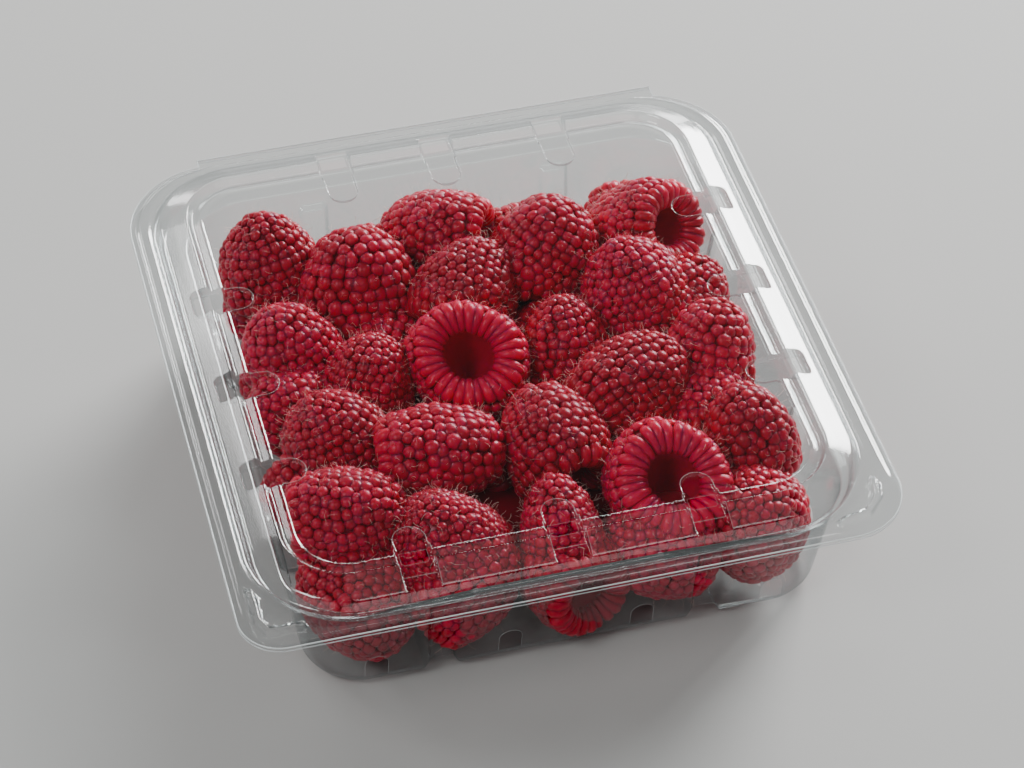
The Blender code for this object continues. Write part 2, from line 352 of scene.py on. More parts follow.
@dataclass(frozen=True)
class RaspberrySkin(Look):
    """Ripe raspberry drupelets: thin wet skin over red flesh, dulled by a soft bloom, with painted
    shade in the creases between them.
    """

    gap: str = "#84001A"  # painted shade: the dark colour put on the flesh between drupelets, on their feet and on the rim lobes' flanks
    deep: str = "#7E0018"
    ripe: str = "#B2002A"
    bright: str = "#D80444"
    patch_mm: float = 7.0  # patches of riper and less ripe colour
    patch_share: float = 0.4
    grain_mm: float = 0.45  # wrinkles of the skin
    grain_depth: float = 0.05 * MM

    def surface(self, add: Adder) -> Node:
        """Builds the shader with the adder and returns its last node."""
        place = add("ShaderNodeTexCoord").outputs["Object"]
        tone = add("ShaderNodeAttribute", attribute_name="tone").outputs["Fac"]
        patches = add(
            "ShaderNodeTexNoise", {"Vector": place, "Scale": 1000 / self.patch_mm, "Detail": 2.0}
        )
        mixed = add(
            "ShaderNodeMath",
            {0: patches.outputs["Fac"], 1: self.patch_share, 2: tone},
            operation="MULTIPLY_ADD",
        )
        ramp = add("ShaderNodeValToRGB", {"Fac": mixed})
        stops = ramp.color_ramp.elements
        stops[0].position, stops[0].color = 0.3, srgb(self.deep)
        stops[1].position, stops[1].color = 1.0, srgb(self.bright)
        middle = stops.new(0.7)
        middle.color = srgb(self.ripe)
        # painted shade: where the crown attribute is low, at drupelet feet, in the flesh between them
        # and on the rim lobes' flanks, the colour is mixed towards the gap colour
        crown = add("ShaderNodeAttribute", attribute_name="crown").outputs["Fac"]
        lit = add(
            "ShaderNodeMapRange",
            {"Value": crown, "From Min": 0.25, "From Max": 0.88},
            interpolation_type="SMOOTHSTEP",
        )
        colour = add(
            "ShaderNodeMix",
            {0: lit.outputs["Result"], 6: srgb(self.gap), 7: ramp.outputs["Color"]},
            data_type="RGBA",
        )
        grain = add(
            "ShaderNodeTexNoise",
            {"Vector": place, "Scale": 1000 / self.grain_mm, "Detail": 3.0, "Roughness": 0.6},
        )
        skin = add(
            "ShaderNodeBump",
            {"Height": grain.outputs["Fac"], "Strength": 0.6, "Distance": self.grain_depth},
        )
        return add(
            "ShaderNodeBsdfPrincipled",
            {
                "Base Color": colour.outputs[2],
                "Roughness": 0.4,
                "IOR": 1.5,
                "Coat Weight": 0.24,
                "Coat Roughness": 0.24,
                "Coat IOR": 1.45,
                "Coat Tint": srgb("#FFFFFF"),
                "Specular Tint": srgb("#FF98AE"),
                "Subsurface Weight": 0.8,
                "Subsurface Radius": (1.0, 0.14, 0.12),
                "Subsurface Scale": 3.4 * MM,
                "Sheen Weight": 0.09,
                "Sheen Roughness": 0.3,
                "Sheen Tint": srgb("#FF6C88"),
                "Normal": skin.outputs["Normal"],
            },
        )


@dataclass(frozen=True)
class DriedStyle(Look):
    """The dried style on each drupelet: a pale golden hair."""

    colour: str = "#F8D2C6"

    def surface(self, add: Adder) -> Node:
        """Builds the shader with the adder and returns its last node."""
        return add(
            "ShaderNodeBsdfPrincipled", {"Base Color": srgb(self.colour), "Roughness": 0.55, "IOR": 1.5}
        )


@dataclass(frozen=True)
class PaleBoard(Look):
    """Painted studio board: even and matt."""

    colour: str = "#AFAFAD"

    def surface(self, add: Adder) -> Node:
        """Builds the shader with the adder and returns its last node."""
        return add("ShaderNodeBsdfPrincipled", {"Base Color": srgb(self.colour), "Roughness": 0.75})


# ---------- sheet forms


def rounded_profile(rings: Sequence[Sequence[float]], radius: float, steps: int) -> Array:
    """Rounds the bends of a sheet's section and keeps its faces flat between them.

    Args:
        rings: control loops, from the outside in: half width, front and back reach, three
            corner radii and height.
        radius: length of each rounding on either side of its bend.
        steps: segments in each rounding.
    Returns:
        One row for each loop of the rounded section.
    """
    control = np.array(rings, float)
    rows = [control[0]]
    for before, bend, after in zip(control, control[1:], control[2:]):
        spans = []
        for other in (before, after):
            run = float(np.hypot(other[0] - bend[0], other[6] - bend[6]))
            reach, guard = min(radius, 0.4 * run), min(0.07, 0.05 * run)
            spans.append((bend + (other - bend) * reach / run, (other - bend) * guard / run))
        (start, start_guard), (end, end_guard) = spans
        rows.append(start + start_guard)
        for u in np.linspace(0, 1, steps + 1):
            rows.append((1 - u) ** 2 * start + 2 * u * (1 - u) * bend + u * u * end)
        rows.append(end + end_guard)
    rows.append(control[-1])
    return np.array(rows)


def ring_distance(points: Array, rings: Array) -> Array:
    """Signed distance of points to rounded rectangles, negative inside.

    Args:
        points: one row of x, y for each point.
        rings: one row for each rounded rectangle.
    Returns:
        One row for each point and one column for each ring.
    """
    x, y = points[:, 0:1], points[:, 1:2]
    half, front, back, front_left, front_right, rear = (rings[None, :, i] for i in range(6))
    middle, reach = (back - front) / 2, (back + front) / 2
    radius = np.where(y > middle, rear, np.where(x < 0, front_left, front_right))
    qx = np.abs(x) - half + radius
    qy = np.abs(y - middle) - reach + radius
    outside = np.hypot(np.maximum(qx, 0), np.maximum(qy, 0))
    return outside + np.minimum(np.maximum(qx, qy), 0) - radius


def ring_outline(ring: Sequence[float], steps: int) -> Array:
    """Points round one rounded rectangle, anticlockwise, with only ends on its straight sides.

    Args:
        ring: the rounded rectangle.
        steps: segments in each corner.
    Returns:
        One row of x, y for each point.
    """
    half, front, back, front_left, front_right, rear = ring[:6]
    corners = (
        (-half, -front, 1, 1, front_left, math.pi),
        (half, -front, -1, 1, front_right, math.pi * 1.5),
        (half, back, -1, -1, rear, 0.0),
        (-half, back, 1, -1, rear, math.pi * 0.5),
    )
    points = []
    for x, y, right, up, radius, start in corners:
        centre = (x + right * radius, y + up * radius)
        for angle in np.linspace(start, start + math.pi / 2, steps + 1):
            points.append((centre[0] + radius * math.cos(angle), centre[1] + radius * math.sin(angle)))
    return np.array(points)


@dataclass
class Plan:
    """A flat drawing of lines and points, to be filled with triangles."""

    points: list[Pair] = field(default_factory=list)
    lines: list[tuple[int, int]] = field(default_factory=list)

    def loop(self, outline: Array, closed: bool = True) -> None:
        """Draws a line through points.

        Args:
            outline: one row of x, y for each point.
            closed: whether the last point joins the first.
        """
        first, count = len(self.points), len(outline)
        self.points += [(float(x), float(y)) for x, y in outline]
        last = count if closed else count - 1
        self.lines += [(first + k, first + (k + 1) % count) for k in range(last)]

    def scatter(self, places: Array) -> None:
        """Adds loose points."""
        self.points += [(float(x), float(y)) for x, y in places]

    def fill(self) -> tuple[Array, Array]:
        """Fills the drawing with triangles.

        Returns:
            The points and the triangles, anticlockwise.
        """
        vectors = [Vector(point) for point in self.points]
        result = delaunay_2d_cdt(vectors, self.lines, [], 0, 1e-5)
        flat = np.array([tuple(v) for v in result[0]])
        triangles = np.array(result[2], int)
        a, b, c = (flat[triangles[:, k]] for k in range(3))
        area = (b[:, 0] - a[:, 0]) * (c[:, 1] - a[:, 1]) - (b[:, 1] - a[:, 1]) * (c[:, 0] - a[:, 0])
        triangles[area < 0] = triangles[area < 0][:, ::-1]
        return flat, triangles[np.abs(area) > 1e-9]


def refine(loop: Array, step: float) -> Array:
    """Adds points to a closed loop so that no side is longer than a step.

    Args:
        loop: one row for each point.
        step: the longest side.
    Returns:
        The finer loop.
    """
    found = []
    for start, end in zip(loop, np.roll(loop, -1, axis=0)):
        parts = max(int(math.ceil(np.linalg.norm(end - start) / step)), 1)
        found += [start + (end - start) * k / parts for k in range(parts)]
    return np.array(found)


@dataclass(frozen=True)
class Bar:
    """A rounded bar pressed up out of the sheet, along a bent line."""

    line: tuple[Pair, ...]
    width: float
    rise: float

    def lift(self, points: Array) -> Array:
        """How far the bar lifts the sheet.

        Args:
            points: one row of x, y for each point.
        Returns:
            One height for each point.
        """
        nearest = np.full(len(points), 1e9)
        for start, end in zip(self.line, self.line[1:]):
            a, run = np.array(start), np.array(end) - np.array(start)
            t = np.clip(((points - a) @ run) / (run @ run), 0, 1)
            nearest = np.minimum(nearest, np.linalg.norm(points - a - t[:, None] * run, axis=1))
        half = self.width / 2
        return self.rise * smooth((half - nearest) / (0.62 * half))

    def ends(self, share: float) -> list[Array]:
        """The round bends at both ends of the bar.

        Args:
            share: how far out on the bar's half width they lie.
        Returns:
            One row of x, y for each point of each bend.
        """
        found = []
        turns = np.linspace(-math.pi * 0.62, math.pi * 0.62, 13)
        for tip, before in ((self.line[0], self.line[1]), (self.line[-1], self.line[-2])):
            away = math.atan2(tip[1] - before[1], tip[0] - before[0])
            reach = share * self.width / 2
            ring = np.column_stack([np.cos(turns + away), np.sin(turns + away)])
            found.append(np.array(tip) + reach * ring)
        return found


@dataclass(frozen=True)
class Vent:
    """A channel pressed across the lid's ridge: a round tongue in the panel that widens at the
    panel's edge and runs out over the ridge, with an air hole in its floor."""

    side: float  # turn of the side it crosses
    along: float
    inner: float
    shoulder: float
    outer: float
    hole: Pair  # from and to
    tongue: float = 2.75  # half widths
    channel: float = 3.1
    hole_half: float = 2.6
    floor: float = 1.7
    wall: float = 0.34
    corner: float = 0.9
    runs_down: bool = False  # its floor turns down the ridge's outer wall

    def local(self, points: Array) -> Array:
        """Turns points so that the vent runs along x."""
        c, s = math.cos(self.side), math.sin(self.side)
        turned = points @ np.array([[c, -s], [s, c]])
        return turned - np.array([0.0, self.along])

    def world(self, points: Array) -> Array:
        """Turns points of the vent's own plan to the lid's."""
        c, s = math.cos(self.side), math.sin(self.side)
        return (points + np.array([0.0, self.along])) @ np.array([[c, s], [-s, c]])

    def distance(self, points: Array) -> Array:
        """Signed distance to the vent's outline, negative inside.

        Args:
            points: one row of x, y for each point of the lid.
        Returns:
            One distance for each point.
        """
        a, b = self.local(points).T
        round_end = np.hypot(a - self.inner - self.tongue, b) - self.tongue
        strip = np.maximum(np.abs(b) - self.tongue, a - self.outer + 1)
        tongue = np.where(a < self.inner + self.tongue, round_end, strip)
        qx = np.abs(a - (self.outer + self.shoulder) / 2) - (self.outer - self.shoulder) / 2
        qy = np.abs(b) - self.channel
        reach = np.where(a > self.shoulder + 1.5, self.corner, 0.0)
        qx, qy = qx + reach, qy + reach
        box = np.hypot(np.maximum(qx, 0), np.maximum(qy, 0))
        box = box + np.minimum(np.maximum(qx, qy), 0) - reach
        return np.minimum(tongue, box)

    def outline(self, offset: float) -> Array:
        """The vent's outline moved out by an offset.

        Args:
            offset: how far, in millimetres.
        Returns:
            One row of x, y for each point of the lid.
        """
        reach = max(self.corner + offset, 0.05)
        half, wide = self.tongue + offset, self.channel + offset
        centre, step = self.inner + self.tongue, self.shoulder - offset
        points = [(step, wide), (step, half)]
        for angle in np.linspace(math.pi / 2, math.pi * 1.5, 19):
            points.append((centre + half * math.cos(angle), half * math.sin(angle)))
        points += [(step, -half), (step, -wide)]
        far, side = self.outer + offset - reach, wide - reach
        for start, sign in ((-math.pi / 2, -1), (0.0, 1)):
            for angle in np.linspace(start, start + math.pi / 2, 5):
                points.append((far + reach * math.cos(angle), sign * side + reach * math.sin(angle)))
        return self.world(refine(np.array(points), 0.45))

    def hole_outline(self) -> Array:
        """The air hole in the vent's floor."""
        (start, end), half, cut = self.hole, self.hole_half, 0.5
        near = ((start, -half), (end - cut, -half), (end, -half + cut))
        corners = (*near, (end, half - cut), (end - cut, half), (start, half))
        return self.world(np.array(corners))

    def in_hole(self, points: Array) -> Array:
        """Which points lie in the air hole."""
        a, b = self.local(points).T
        (start, end), half = self.hole, self.hole_half
        return (a > start) & (a < end) & (np.abs(b) < half) & (a + np.abs(b) < end + half - 0.5)


# ---------- edge bead


class EdgeBeadTree:
    """A tree that runs a fine round bead along wires; in a whitish material it paints the highlight of
    a cut edge or a sharp bend of the sheet.
    """

    def build(self) -> GeometryNodeTree:
        """Builds the tree.

        Returns:
            The tree, with inputs Radius and Material.
        """
        inputs = {"Radius": ("NodeSocketFloat", 0.2 * MM), "Material": ("NodeSocketMaterial", None)}
        tree, start, end = new_tree("edge_bead", inputs)
        add = partial(add_node, tree)
        wires = add("GeometryNodeMeshToCurve", {"Mesh": start.outputs["Geometry"]})
        section = add(
            "GeometryNodeCurvePrimitiveCircle", {"Resolution": 6, "Radius": start.outputs["Radius"]}
        )
        bead = add(
            "GeometryNodeCurveToMesh", {"Curve": wires, "Profile Curve": section, "Fill Caps": True}
        )
        soft = add("GeometryNodeSetShadeSmooth", {"Geometry": bead})
        dress(tree, soft, start, end)
        return tree


def bead_piece(
    name: str,
    loops: Sequence[Array],
    tree: GeometryNodeTree,
    radius: float,
    material: Material,
    longest: float = 200.0,
) -> Object:
    """Makes one piece of beads along closed loops, open where a step would be too long.

    Args:
        name: the piece's name.
        loops: rows of x, y, z in millimetres for each closed loop.
        tree: the edge bead tree.
        radius: the bead's radius in millimetres.
        material: what the bead is made of.
        longest: the longest step that still gets a bead, in millimetres.
    Returns:
        The finished object.
    """
    points, edges = [], []
    for loop in loops:
        first, count = len(points), len(loop)
        points += [tuple(p) for p in loop]
        for k in range(count):
            n = (k + 1) % count
            if np.linalg.norm(loop[n] - loop[k]) < longest:
                edges.append((first + k, first + n))
    wire = to_object(name, to_mesh(name, np.array(points), [], None, edges))
    return apply_tree(wire, tree, {"Radius": radius * MM, "Material": material})


# ---------- lid


def flange_outline(inset: float = 0.0, steps: int = 16) -> Array:
    """The flange's outer edge, stepped out to the hinge tab at the back.

    Args:
        inset: how far inside the edge the line runs.
        steps: segments in each corner.
    Returns:
        One row of x, y for each point, anticlockwise.
    """
    edge = [value - inset for value in EDGE[:6]]
    left, right, back = TAB[0] + inset, TAB[1] - inset, TAB[2] - inset
    ring = ring_outline(edge, steps)
    rear = edge[5]
    feet = []
    for x in (right, left):
        past = max(abs(x) - (edge[0] - rear), 0.0)
        feet.append((x, edge[2] - rear + math.sqrt(rear**2 - past**2)))
    third = 3 * (steps + 1)
    before = [tuple(p) for p in ring[:third] if not (p[1] > 0 and p[0] < right)]
    after = [tuple(p) for p in ring[third:] if p[0] < left]
    return np.array([*before, feet[0], (right, back), (left, back), feet[1], *after])


@dataclass
class Lid:
    """The vented lid: flange, ridge, channels and panel in one sheet."""

    rings: tuple[tuple[float, ...], ...] = (
        EDGE,
        (61.3, 64.3, 62.5, 7.0, 11.0, 17.5, 0.0),
        (60.6, 63.5, 62.2, 17.0, 18.0, 17.5, 0.5),
        (59.3, 62.3, 61.9, 18.0, 18.5, 17.5, 0.55),
        (58.05, 61.05, 61.05, 19.5, 19.5, 17.0, 0.0),
        (56.5, 59.5, 59.5, 18.0, 18.0, 16.0, 1.9),
        (54.3, 57.3, 57.3, 16.0, 16.0, 14.0, 2.8),
        (51.45, 54.45, 54.45, 12.5, 12.5, 11.5, 3.9),
        (50.4, 53.4, 53.4, 11.5, 11.5, 10.5, 2.3),
        (48.8, 51.8, 51.8, 10.0, 10.0, 9.0, 2.9),
        (48.1, 51.1, 51.1, 9.3, 9.3, 8.5, 2.6),
        (46.0, 49.0, 49.0, 7.2, 7.2, 6.4, 2.6),
    )
    bend: float = 0.42
    bend_steps: int = 4
    corner_steps: int = 14
    # inner end, shoulder, outer end and hole of each side's vents
    side_vent: tuple = (43.2, 48.2, 54.7, (51.0, 54.3))
    front_vent: tuple = (45.3, 50.2, 60.2, (50.4, 53.3))
    back_vent: tuple = (43.5, 51.2, 57.7, (54.0, 57.3))
    left: tuple[float, ...] = (20.9, -2.9, -26.1)
    right: tuple[float, ...] = (25.0, 1.3, -22.9)
    front: tuple[float, ...] = (-28.9, -1.2, 25.1)
    back: tuple[float, ...] = (-19.3, 1.9, 25.7)
    bars: tuple[Bar, ...] = (
        Bar(((-58.9, -52.2), (-58.9, -59.0), (-57.6, -61.5), (-51.6, -61.7)), 2.0, 1.35),
        Bar(((48.8, -61.9), (53.9, -60.9), (56.9, -57.6), (57.3, -53.6)), 1.9, 1.2),
        Bar(((-20.0, -61.8), (14.0, -61.8)), 2.1, 1.3),
    )
    # radii of the whitish beads that paint highlights on the cut edge, the air holes' edges and the
    # creases
    bead: float = 0.14
    hole_highlight: float = 0.018
    crease_highlight: float = 0.032
    crease_share: float = 0.9  # how far out on a vent's wall its painted crease highlight lies
    crease_rise: float = 0.06  # a crease highlight is painted only where the sheet stands this far over the floor
    crease_gap: Pair = (0.9, 2.6)  # the gap in the crease highlight beside an air hole, from its near edge
    bar_highlights: tuple[float, ...] = (0.95, 0.45)  # shares of a bar's half width where highlight lines are painted round its ends
    slope_step: float = 0.02
    channel_end: float = 56.2  # where a front channel's floor turns down the outer wall

    def vents(self) -> Iterator[Vent]:
        """Yields every vent.

        Returns:
            The vents, side by side.
        """
        turns = (
            (self.right, self.side_vent, 0.0, 1),
            (self.back, self.back_vent, math.pi / 2, -1),
            (self.left, self.side_vent, math.pi, -1),
            (self.front, self.front_vent, math.pi * 1.5, 1),
        )
        for places, sizes, turn, sign in turns:
            for place in places:
                yield Vent(turn, sign * place, *sizes, runs_down=places is self.front)

    def height(self, points: Array, profile: Array) -> Array:
        """Height of the sheet over its flange.

        Args:
            points: one row of x, y for each point.
            profile: the rounded section.
        Returns:
            One height for each point.
        """
        distance = ring_distance(points, profile)
        inside = np.clip((distance <= 0).sum(1) - 1, 0, len(profile) - 2)
        rows = np.arange(len(points))
        outer, inner = -distance[rows, inside], distance[rows, inside + 1]
        share = np.clip(outer / np.maximum(outer + inner, 1e-9), 0, 1)
        z = profile[inside, 6] * (1 - share) + profile[inside + 1, 6] * share
        for bar in self.bars:
            z = z + bar.lift(points)
        for vent in self.vents():
            share = smooth(vent.distance(points) / vent.wall)
            z = z * share + np.minimum(z, vent.floor) * (1 - share)
        return z

    def raised(self, line: Array, profile: Array) -> Array:
        """Lifts a flat line onto the sheet in its place over the tray."""
        return np.column_stack([line, self.height(line, profile) + LID_Z])

    def plan(self, profile: Array, vents: Sequence[Vent]) -> Plan:
        """Draws every bend of the sheet seen from above.

        Args:
            profile: the rounded section.
            vents: the vents.
        Returns:
            The drawing.
        """
        plan = Plan()
        plan.loop(flange_outline())
        for ring in profile[1:]:
            plan.loop(ring_outline(ring, self.corner_steps))
        for vent in vents:
            for share in (-0.5, -0.12, 0.0, 0.2, 0.4, 0.6, 0.8, 1.0, 1.12):
                plan.loop(vent.outline(share * vent.wall))
            plan.loop(vent.hole_outline())
        for bar in self.bars:
            corners = np.array(bar.line)
            low, high = corners.min(0) - bar.width * 0.6, corners.max(0) + bar.width * 0.6
            x, y = np.meshgrid(np.arange(low[0], high[0], 0.27), np.arange(low[1], high[1], 0.27))
            spots = np.column_stack([x.ravel(), y.ravel()])
            near = bar.lift(spots) > 1e-4
            plan.scatter(spots[near])
        return plan

    def build(
        self, film: Material, edge: Material, fold: Material, beads: GeometryNodeTree
    ) -> list[Object]:
        """Builds the lid and its bright edges.

        Args:
            film: the sheet's material.
            edge: the cut edge's material, a whitish painted highlight.
            fold: the fainter whitish material that paints highlights on the holes' edges and on the
                creases of vents and bars.
            beads: the edge bead tree.
        Returns:
            The finished pieces.
        """
        profile = rounded_profile(self.rings, self.bend, self.bend_steps)
        vents = list(self.vents())
        flat, triangles = self.plan(profile, vents).fill()
        centres = flat[triangles].mean(1)
        outline = ring_distance(centres, np.array([EDGE]))[:, 0] < 0
        left, right, _ = TAB
        tab = (centres[:, 0] > left) & (centres[:, 0] < right) & (centres[:, 1] > 50)
        open_air = np.zeros(len(centres), bool)
        for vent in vents:
            open_air |= vent.in_hole(centres)
        triangles = triangles[(outline | tab) & ~open_air]
        z = self.height(flat, profile)
        slopes = []
        for step in ([self.slope_step, 0], [0, self.slope_step]):
            slopes.append(self.height(flat - step, profile) - self.height(flat + step, profile))
        normals = np.column_stack([*slopes, np.full(len(z), 2 * self.slope_step)])
        normals /= np.linalg.norm(normals, axis=1)[:, None]
        points = np.column_stack([flat, z + LID_Z])
        mesh = to_mesh("lid_sheet", points, triangles.tolist(), film)
        mesh.normals_split_custom_set_from_vertices(normals.tolist())
        sheet = settle(to_object("lid_sheet", mesh), Body.LID, Slot.CLEAR, "lid")
        # whitish beads paint highlights along the cut edge and the air holes' edges
        rim = flange_outline(self.bead)
        loops = [np.column_stack([rim, np.full(len(rim), LID_Z)])]
        for vent in vents:
            hole = vent.hole_outline()
            loops.append(self.raised(hole, profile))
        rims = bead_piece("lid_cut_edge", loops[:1], beads, self.bead, edge)
        holes = bead_piece("lid_hole_edges", loops[1:], beads, self.hole_highlight, fold)
        # painted highlight lines along the vents' creases and round the bars' ends
        creases = []
        for vent in vents:
            line = self.raised(vent.outline(vent.wall * self.crease_share), profile)
            along = vent.local(line[:, :2])[:, 0]
            near, far = vent.hole[0] + self.crease_gap[0], vent.hole[0] + self.crease_gap[1]
            kept = (line[:, 2] > LID_Z + vent.floor + self.crease_rise) & (along < near)
            kept |= (along > far) & (along < vent.outer - vent.corner) & vent.runs_down
            creases.append(line[kept])
            if vent.runs_down:
                across = np.linspace(-vent.channel, vent.channel, 9)
                turn = vent.world(np.column_stack([np.full(9, self.channel_end), across]))
                creases.append(self.raised(turn, profile))
        for bar in self.bars:
            for share in self.bar_highlights:
                creases += [self.raised(end, profile) for end in bar.ends(share)]
        bends = bead_piece("lid_vent_creases", creases, beads, self.crease_highlight, fold, 1.2)
        for piece in (rims, holes, bends):
            settle(piece, Body.LID, Slot.CLEAR)
        return [sheet, rims, holes, bends]


# ---------- tray


@dataclass(frozen=True)
class Station:
    """A place round the tray: a side, and a distance along it or a share of its corner."""

    side: int
    along: float
    share: float = 0.0


@dataclass
class Tray:
    """The tray: flange, ledge, fluted wall with drain slots, and channelled floor."""

    rings: tuple[tuple[float, ...], ...] = (
        EDGE,
        (57.9, 60.9, 60.9, 19.5, 19.5, 17.0, 0.0),
        (57.2, 60.2, 60.2, 19.0, 19.0, 16.5, -0.8),
        (56.3, 59.3, 59.3, 18.0, 18.0, 16.0, -3.4),
        (53.15, 56.15, 56.15, 13.2, 13.2, 13.2, -4.1),
        (50.15, 53.15, 53.15, 11.2, 11.2, 11.2, -26.4),
        (49.2, 52.2, 52.2, 10.4, 10.4, 10.4, -28.4),
        (47.2, 50.2, 50.2, 9.0, 9.0, 9.0, -29.35),
        (44.0, 47.0, 47.0, 7.0, 7.0, 7.0, -29.35),
    )
    bend: float = 0.6
    bend_steps: int = 4
    end: float = 41.0  # where the stations of a side give way to its corners'
    corner_steps: int = 15
    flutes: Pair = (-25.4, 25.4)
    flute_mouth: float = 3.5
    flute_floor: float = 1.8
    flute_depth: float = 1.7
    channel_depth: float = 2.6
    flute_top: float = 22.5
    slots: tuple[float, ...] = (-38.1, -12.7, 12.7, 38.1)
    slot_half: float = 2.2
    slot_low: float = 3.4
    slot_high: float = 9.4
    arch_steps: int = 5
    arch_slack: float = 0.003  # share of the arch's radius that counts as on the arch
    flute_steps: tuple[float, ...] = (0.0, -0.35, -0.7, -1.0)  # loops where the flutes begin
    mid_wall: float = 15.0  # height of one more loop half way down the wall
    well_band: float = 0.9  # how far over the wall's top the loops already belong to the well
    ledge_band: float = 0.2
    ledge_out: float = 56.0  # half width where the ledge starts to shift with the well
    ledge_run: float = 2.6
    # radii of the whitish beads that paint highlights on the cut edge and the slots' edges
    bead: float = 0.12
    slot_highlight: float = 0.04

    def arch(self) -> list[Pair]:
        """Half of a slot's round top: offsets from its middle and heights.

        Returns:
            Pairs from the side to the crown.
        """
        low = self.slot_high - self.slot_half
        pairs = []
        for k in range(self.arch_steps + 1):
            angle = math.pi / 2 * k / self.arch_steps
            pairs.append((self.slot_half * math.cos(angle), low + self.slot_half * math.sin(angle)))
        return pairs

    def groove(self, offset: Array) -> Array:
        """Share of a flute's depth at a distance from its middle."""
        return smooth((self.flute_mouth - np.abs(offset)) / (self.flute_mouth - self.flute_floor))

    def groove_lines(self) -> list[float]:
        """Offsets from a flute's middle that its section needs."""
        shares = (0.0, 0.15, 0.3, 0.5, 0.7, 0.85, 1.0)
        width = self.flute_mouth - self.flute_floor
        half = [self.flute_floor + share * width for share in shares]
        return [-v for v in half[::-1]] + [0.0] + half

    def stations(self) -> list[Station]:
        """All the places round the tray, anticlockwise from the front's left corner.

        Returns:
            The stations in order.
        """
        places = {0.0, self.end, -self.end}
        for flute in self.flutes:
            places.update(flute + line for line in self.groove_lines())
        for slot in self.slots:
            for across, _ in self.arch():
                places.update((slot - across, slot + across))
        ordered = sorted(places)
        found = []
        shares = np.linspace(0, 1, self.corner_steps + 1)
        for side in range(4):
            found += [Station(side, -1.0, share) for share in shares[:0:-1]]
            found += [Station(side, place) for place in ordered]
            found += [Station(side, 1.0, share) for share in shares[1:-1]]
        return found

    def spot(self, ring: Array, station: Station, shift: float) -> tuple[Array, Array]:
        """Where a station lies on one loop.

        Args:
            ring: the loop.
            station: the place round it.
            shift: how far the loop stands to the right.
        Returns:
            The point and its outward direction, both x, y.
        """
        half, front, back, front_left, front_right, rear = ring[:6]
        spans = (
            (-half + shift, half + shift, front_left, front_right, front),
            (-front, back, front_right, rear, half + shift),
            (-half - shift, half - shift, rear, rear, back),
            (-back, front, rear, front_left, half - shift),
        )
        low, high, low_radius, high_radius, reach = spans[station.side]
        middle = WELL_SHIFT * (1, 0, -1, 0)[station.side]
        along, sign = station.along, 1.0
        if station.share:
            sign = along
            edge, radius = (high, high_radius) if sign > 0 else (-low, low_radius)
            start = self.end + sign * middle
            last = edge - radius + radius * math.pi / 4
            along = sign * (start + (last - start) * station.share)
        else:
            along += middle
            sign = 1.0 if along > 0 else -1.0
            edge, radius = (high, high_radius) if sign > 0 else (-low, low_radius)
        past = abs(along) - (edge - radius)
        if past > 0:
            angle = past / radius
            local = np.array(
                [
                    sign * (edge - radius + radius * math.sin(angle)),
                    reach - radius + radius * math.cos(angle),
                ]
            )
            away = np.array([sign * math.sin(angle), math.cos(angle)])
        else:
            local, away = np.array([along, reach]), np.array([0.0, 1.0])
        run, out = SIDES[station.side]
        turned = np.array([run, out]).T
        return turned @ local, turned @ away

    def levels(self) -> tuple[Array, Array]:
        """The rounded section, with extra loops on the wall for its flutes and slots.

        Returns:
            The loops, and the sideways shift of each.
        """
        profile = rounded_profile(self.rings, self.bend, self.bend_steps)
        heights = [self.flute_top + up for up in self.flute_steps]
        heights += [z for _, z in self.arch()] + [self.slot_low, self.mid_wall]
        z = profile[:, 6] + TRAY_Z
        rows = [profile]
        for height in heights:
            after = int(np.argmax(z < height))
            share = (z[after - 1] - height) / (z[after - 1] - z[after])
            rows.append((profile[after - 1] * (1 - share) + profile[after] * share)[None])
        loops = np.vstack(rows)
        order = np.lexsort((-loops[:, 0], -np.round(loops[:, 6], 6)))
        loops = loops[order]
        outer, inner = self.rings[3][6] + self.ledge_band, self.rings[4][6] - self.ledge_band
        shift = np.where(loops[:, 6] < self.rings[4][6] + self.well_band, WELL_SHIFT, 0.0)
        ledge = (loops[:, 6] < outer) & (loops[:, 6] > inner)
        reach = np.clip((self.ledge_out - loops[:, 0]) / self.ledge_run, 0, 1)
        shift = np.where(ledge, WELL_SHIFT * reach, shift)
        shift = np.where(loops[:, 0] > self.ledge_out, 0.0, shift)
        return loops, shift

    def wall(self) -> tuple[Array, Array, list[Station]]:
        """Points of the flange, ledge and wall.

        Returns:
            Points by loop and station, each loop's share of the flutes, and the stations.
        """
        loops, shifts = self.levels()
        stations = self.stations()
        points = np.zeros((len(loops), len(stations), 3))
        z = loops[:, 6] + TRAY_Z
        fade = smooth((self.flute_top - z) / 1.0)
        foot = self.rings[5][6] + TRAY_Z
        floor = smooth((foot - z) / (foot - self.rings[7][6] - TRAY_Z))
        for k, ring in enumerate(loops):
            for j, station in enumerate(stations):
                spot, away = self.spot(ring, station, shifts[k])
                share = 0.0
                if not station.share:
                    gaps = np.array([station.along - flute for flute in self.flutes])
                    share = float(self.groove(gaps).max()) * fade[k]
                inward = share * self.flute_depth * (1 - floor[k])
                up = share * self.channel_depth * floor[k]
                points[k, j] = (*(spot - away * inward), z[k] + up)
        return points, z, stations

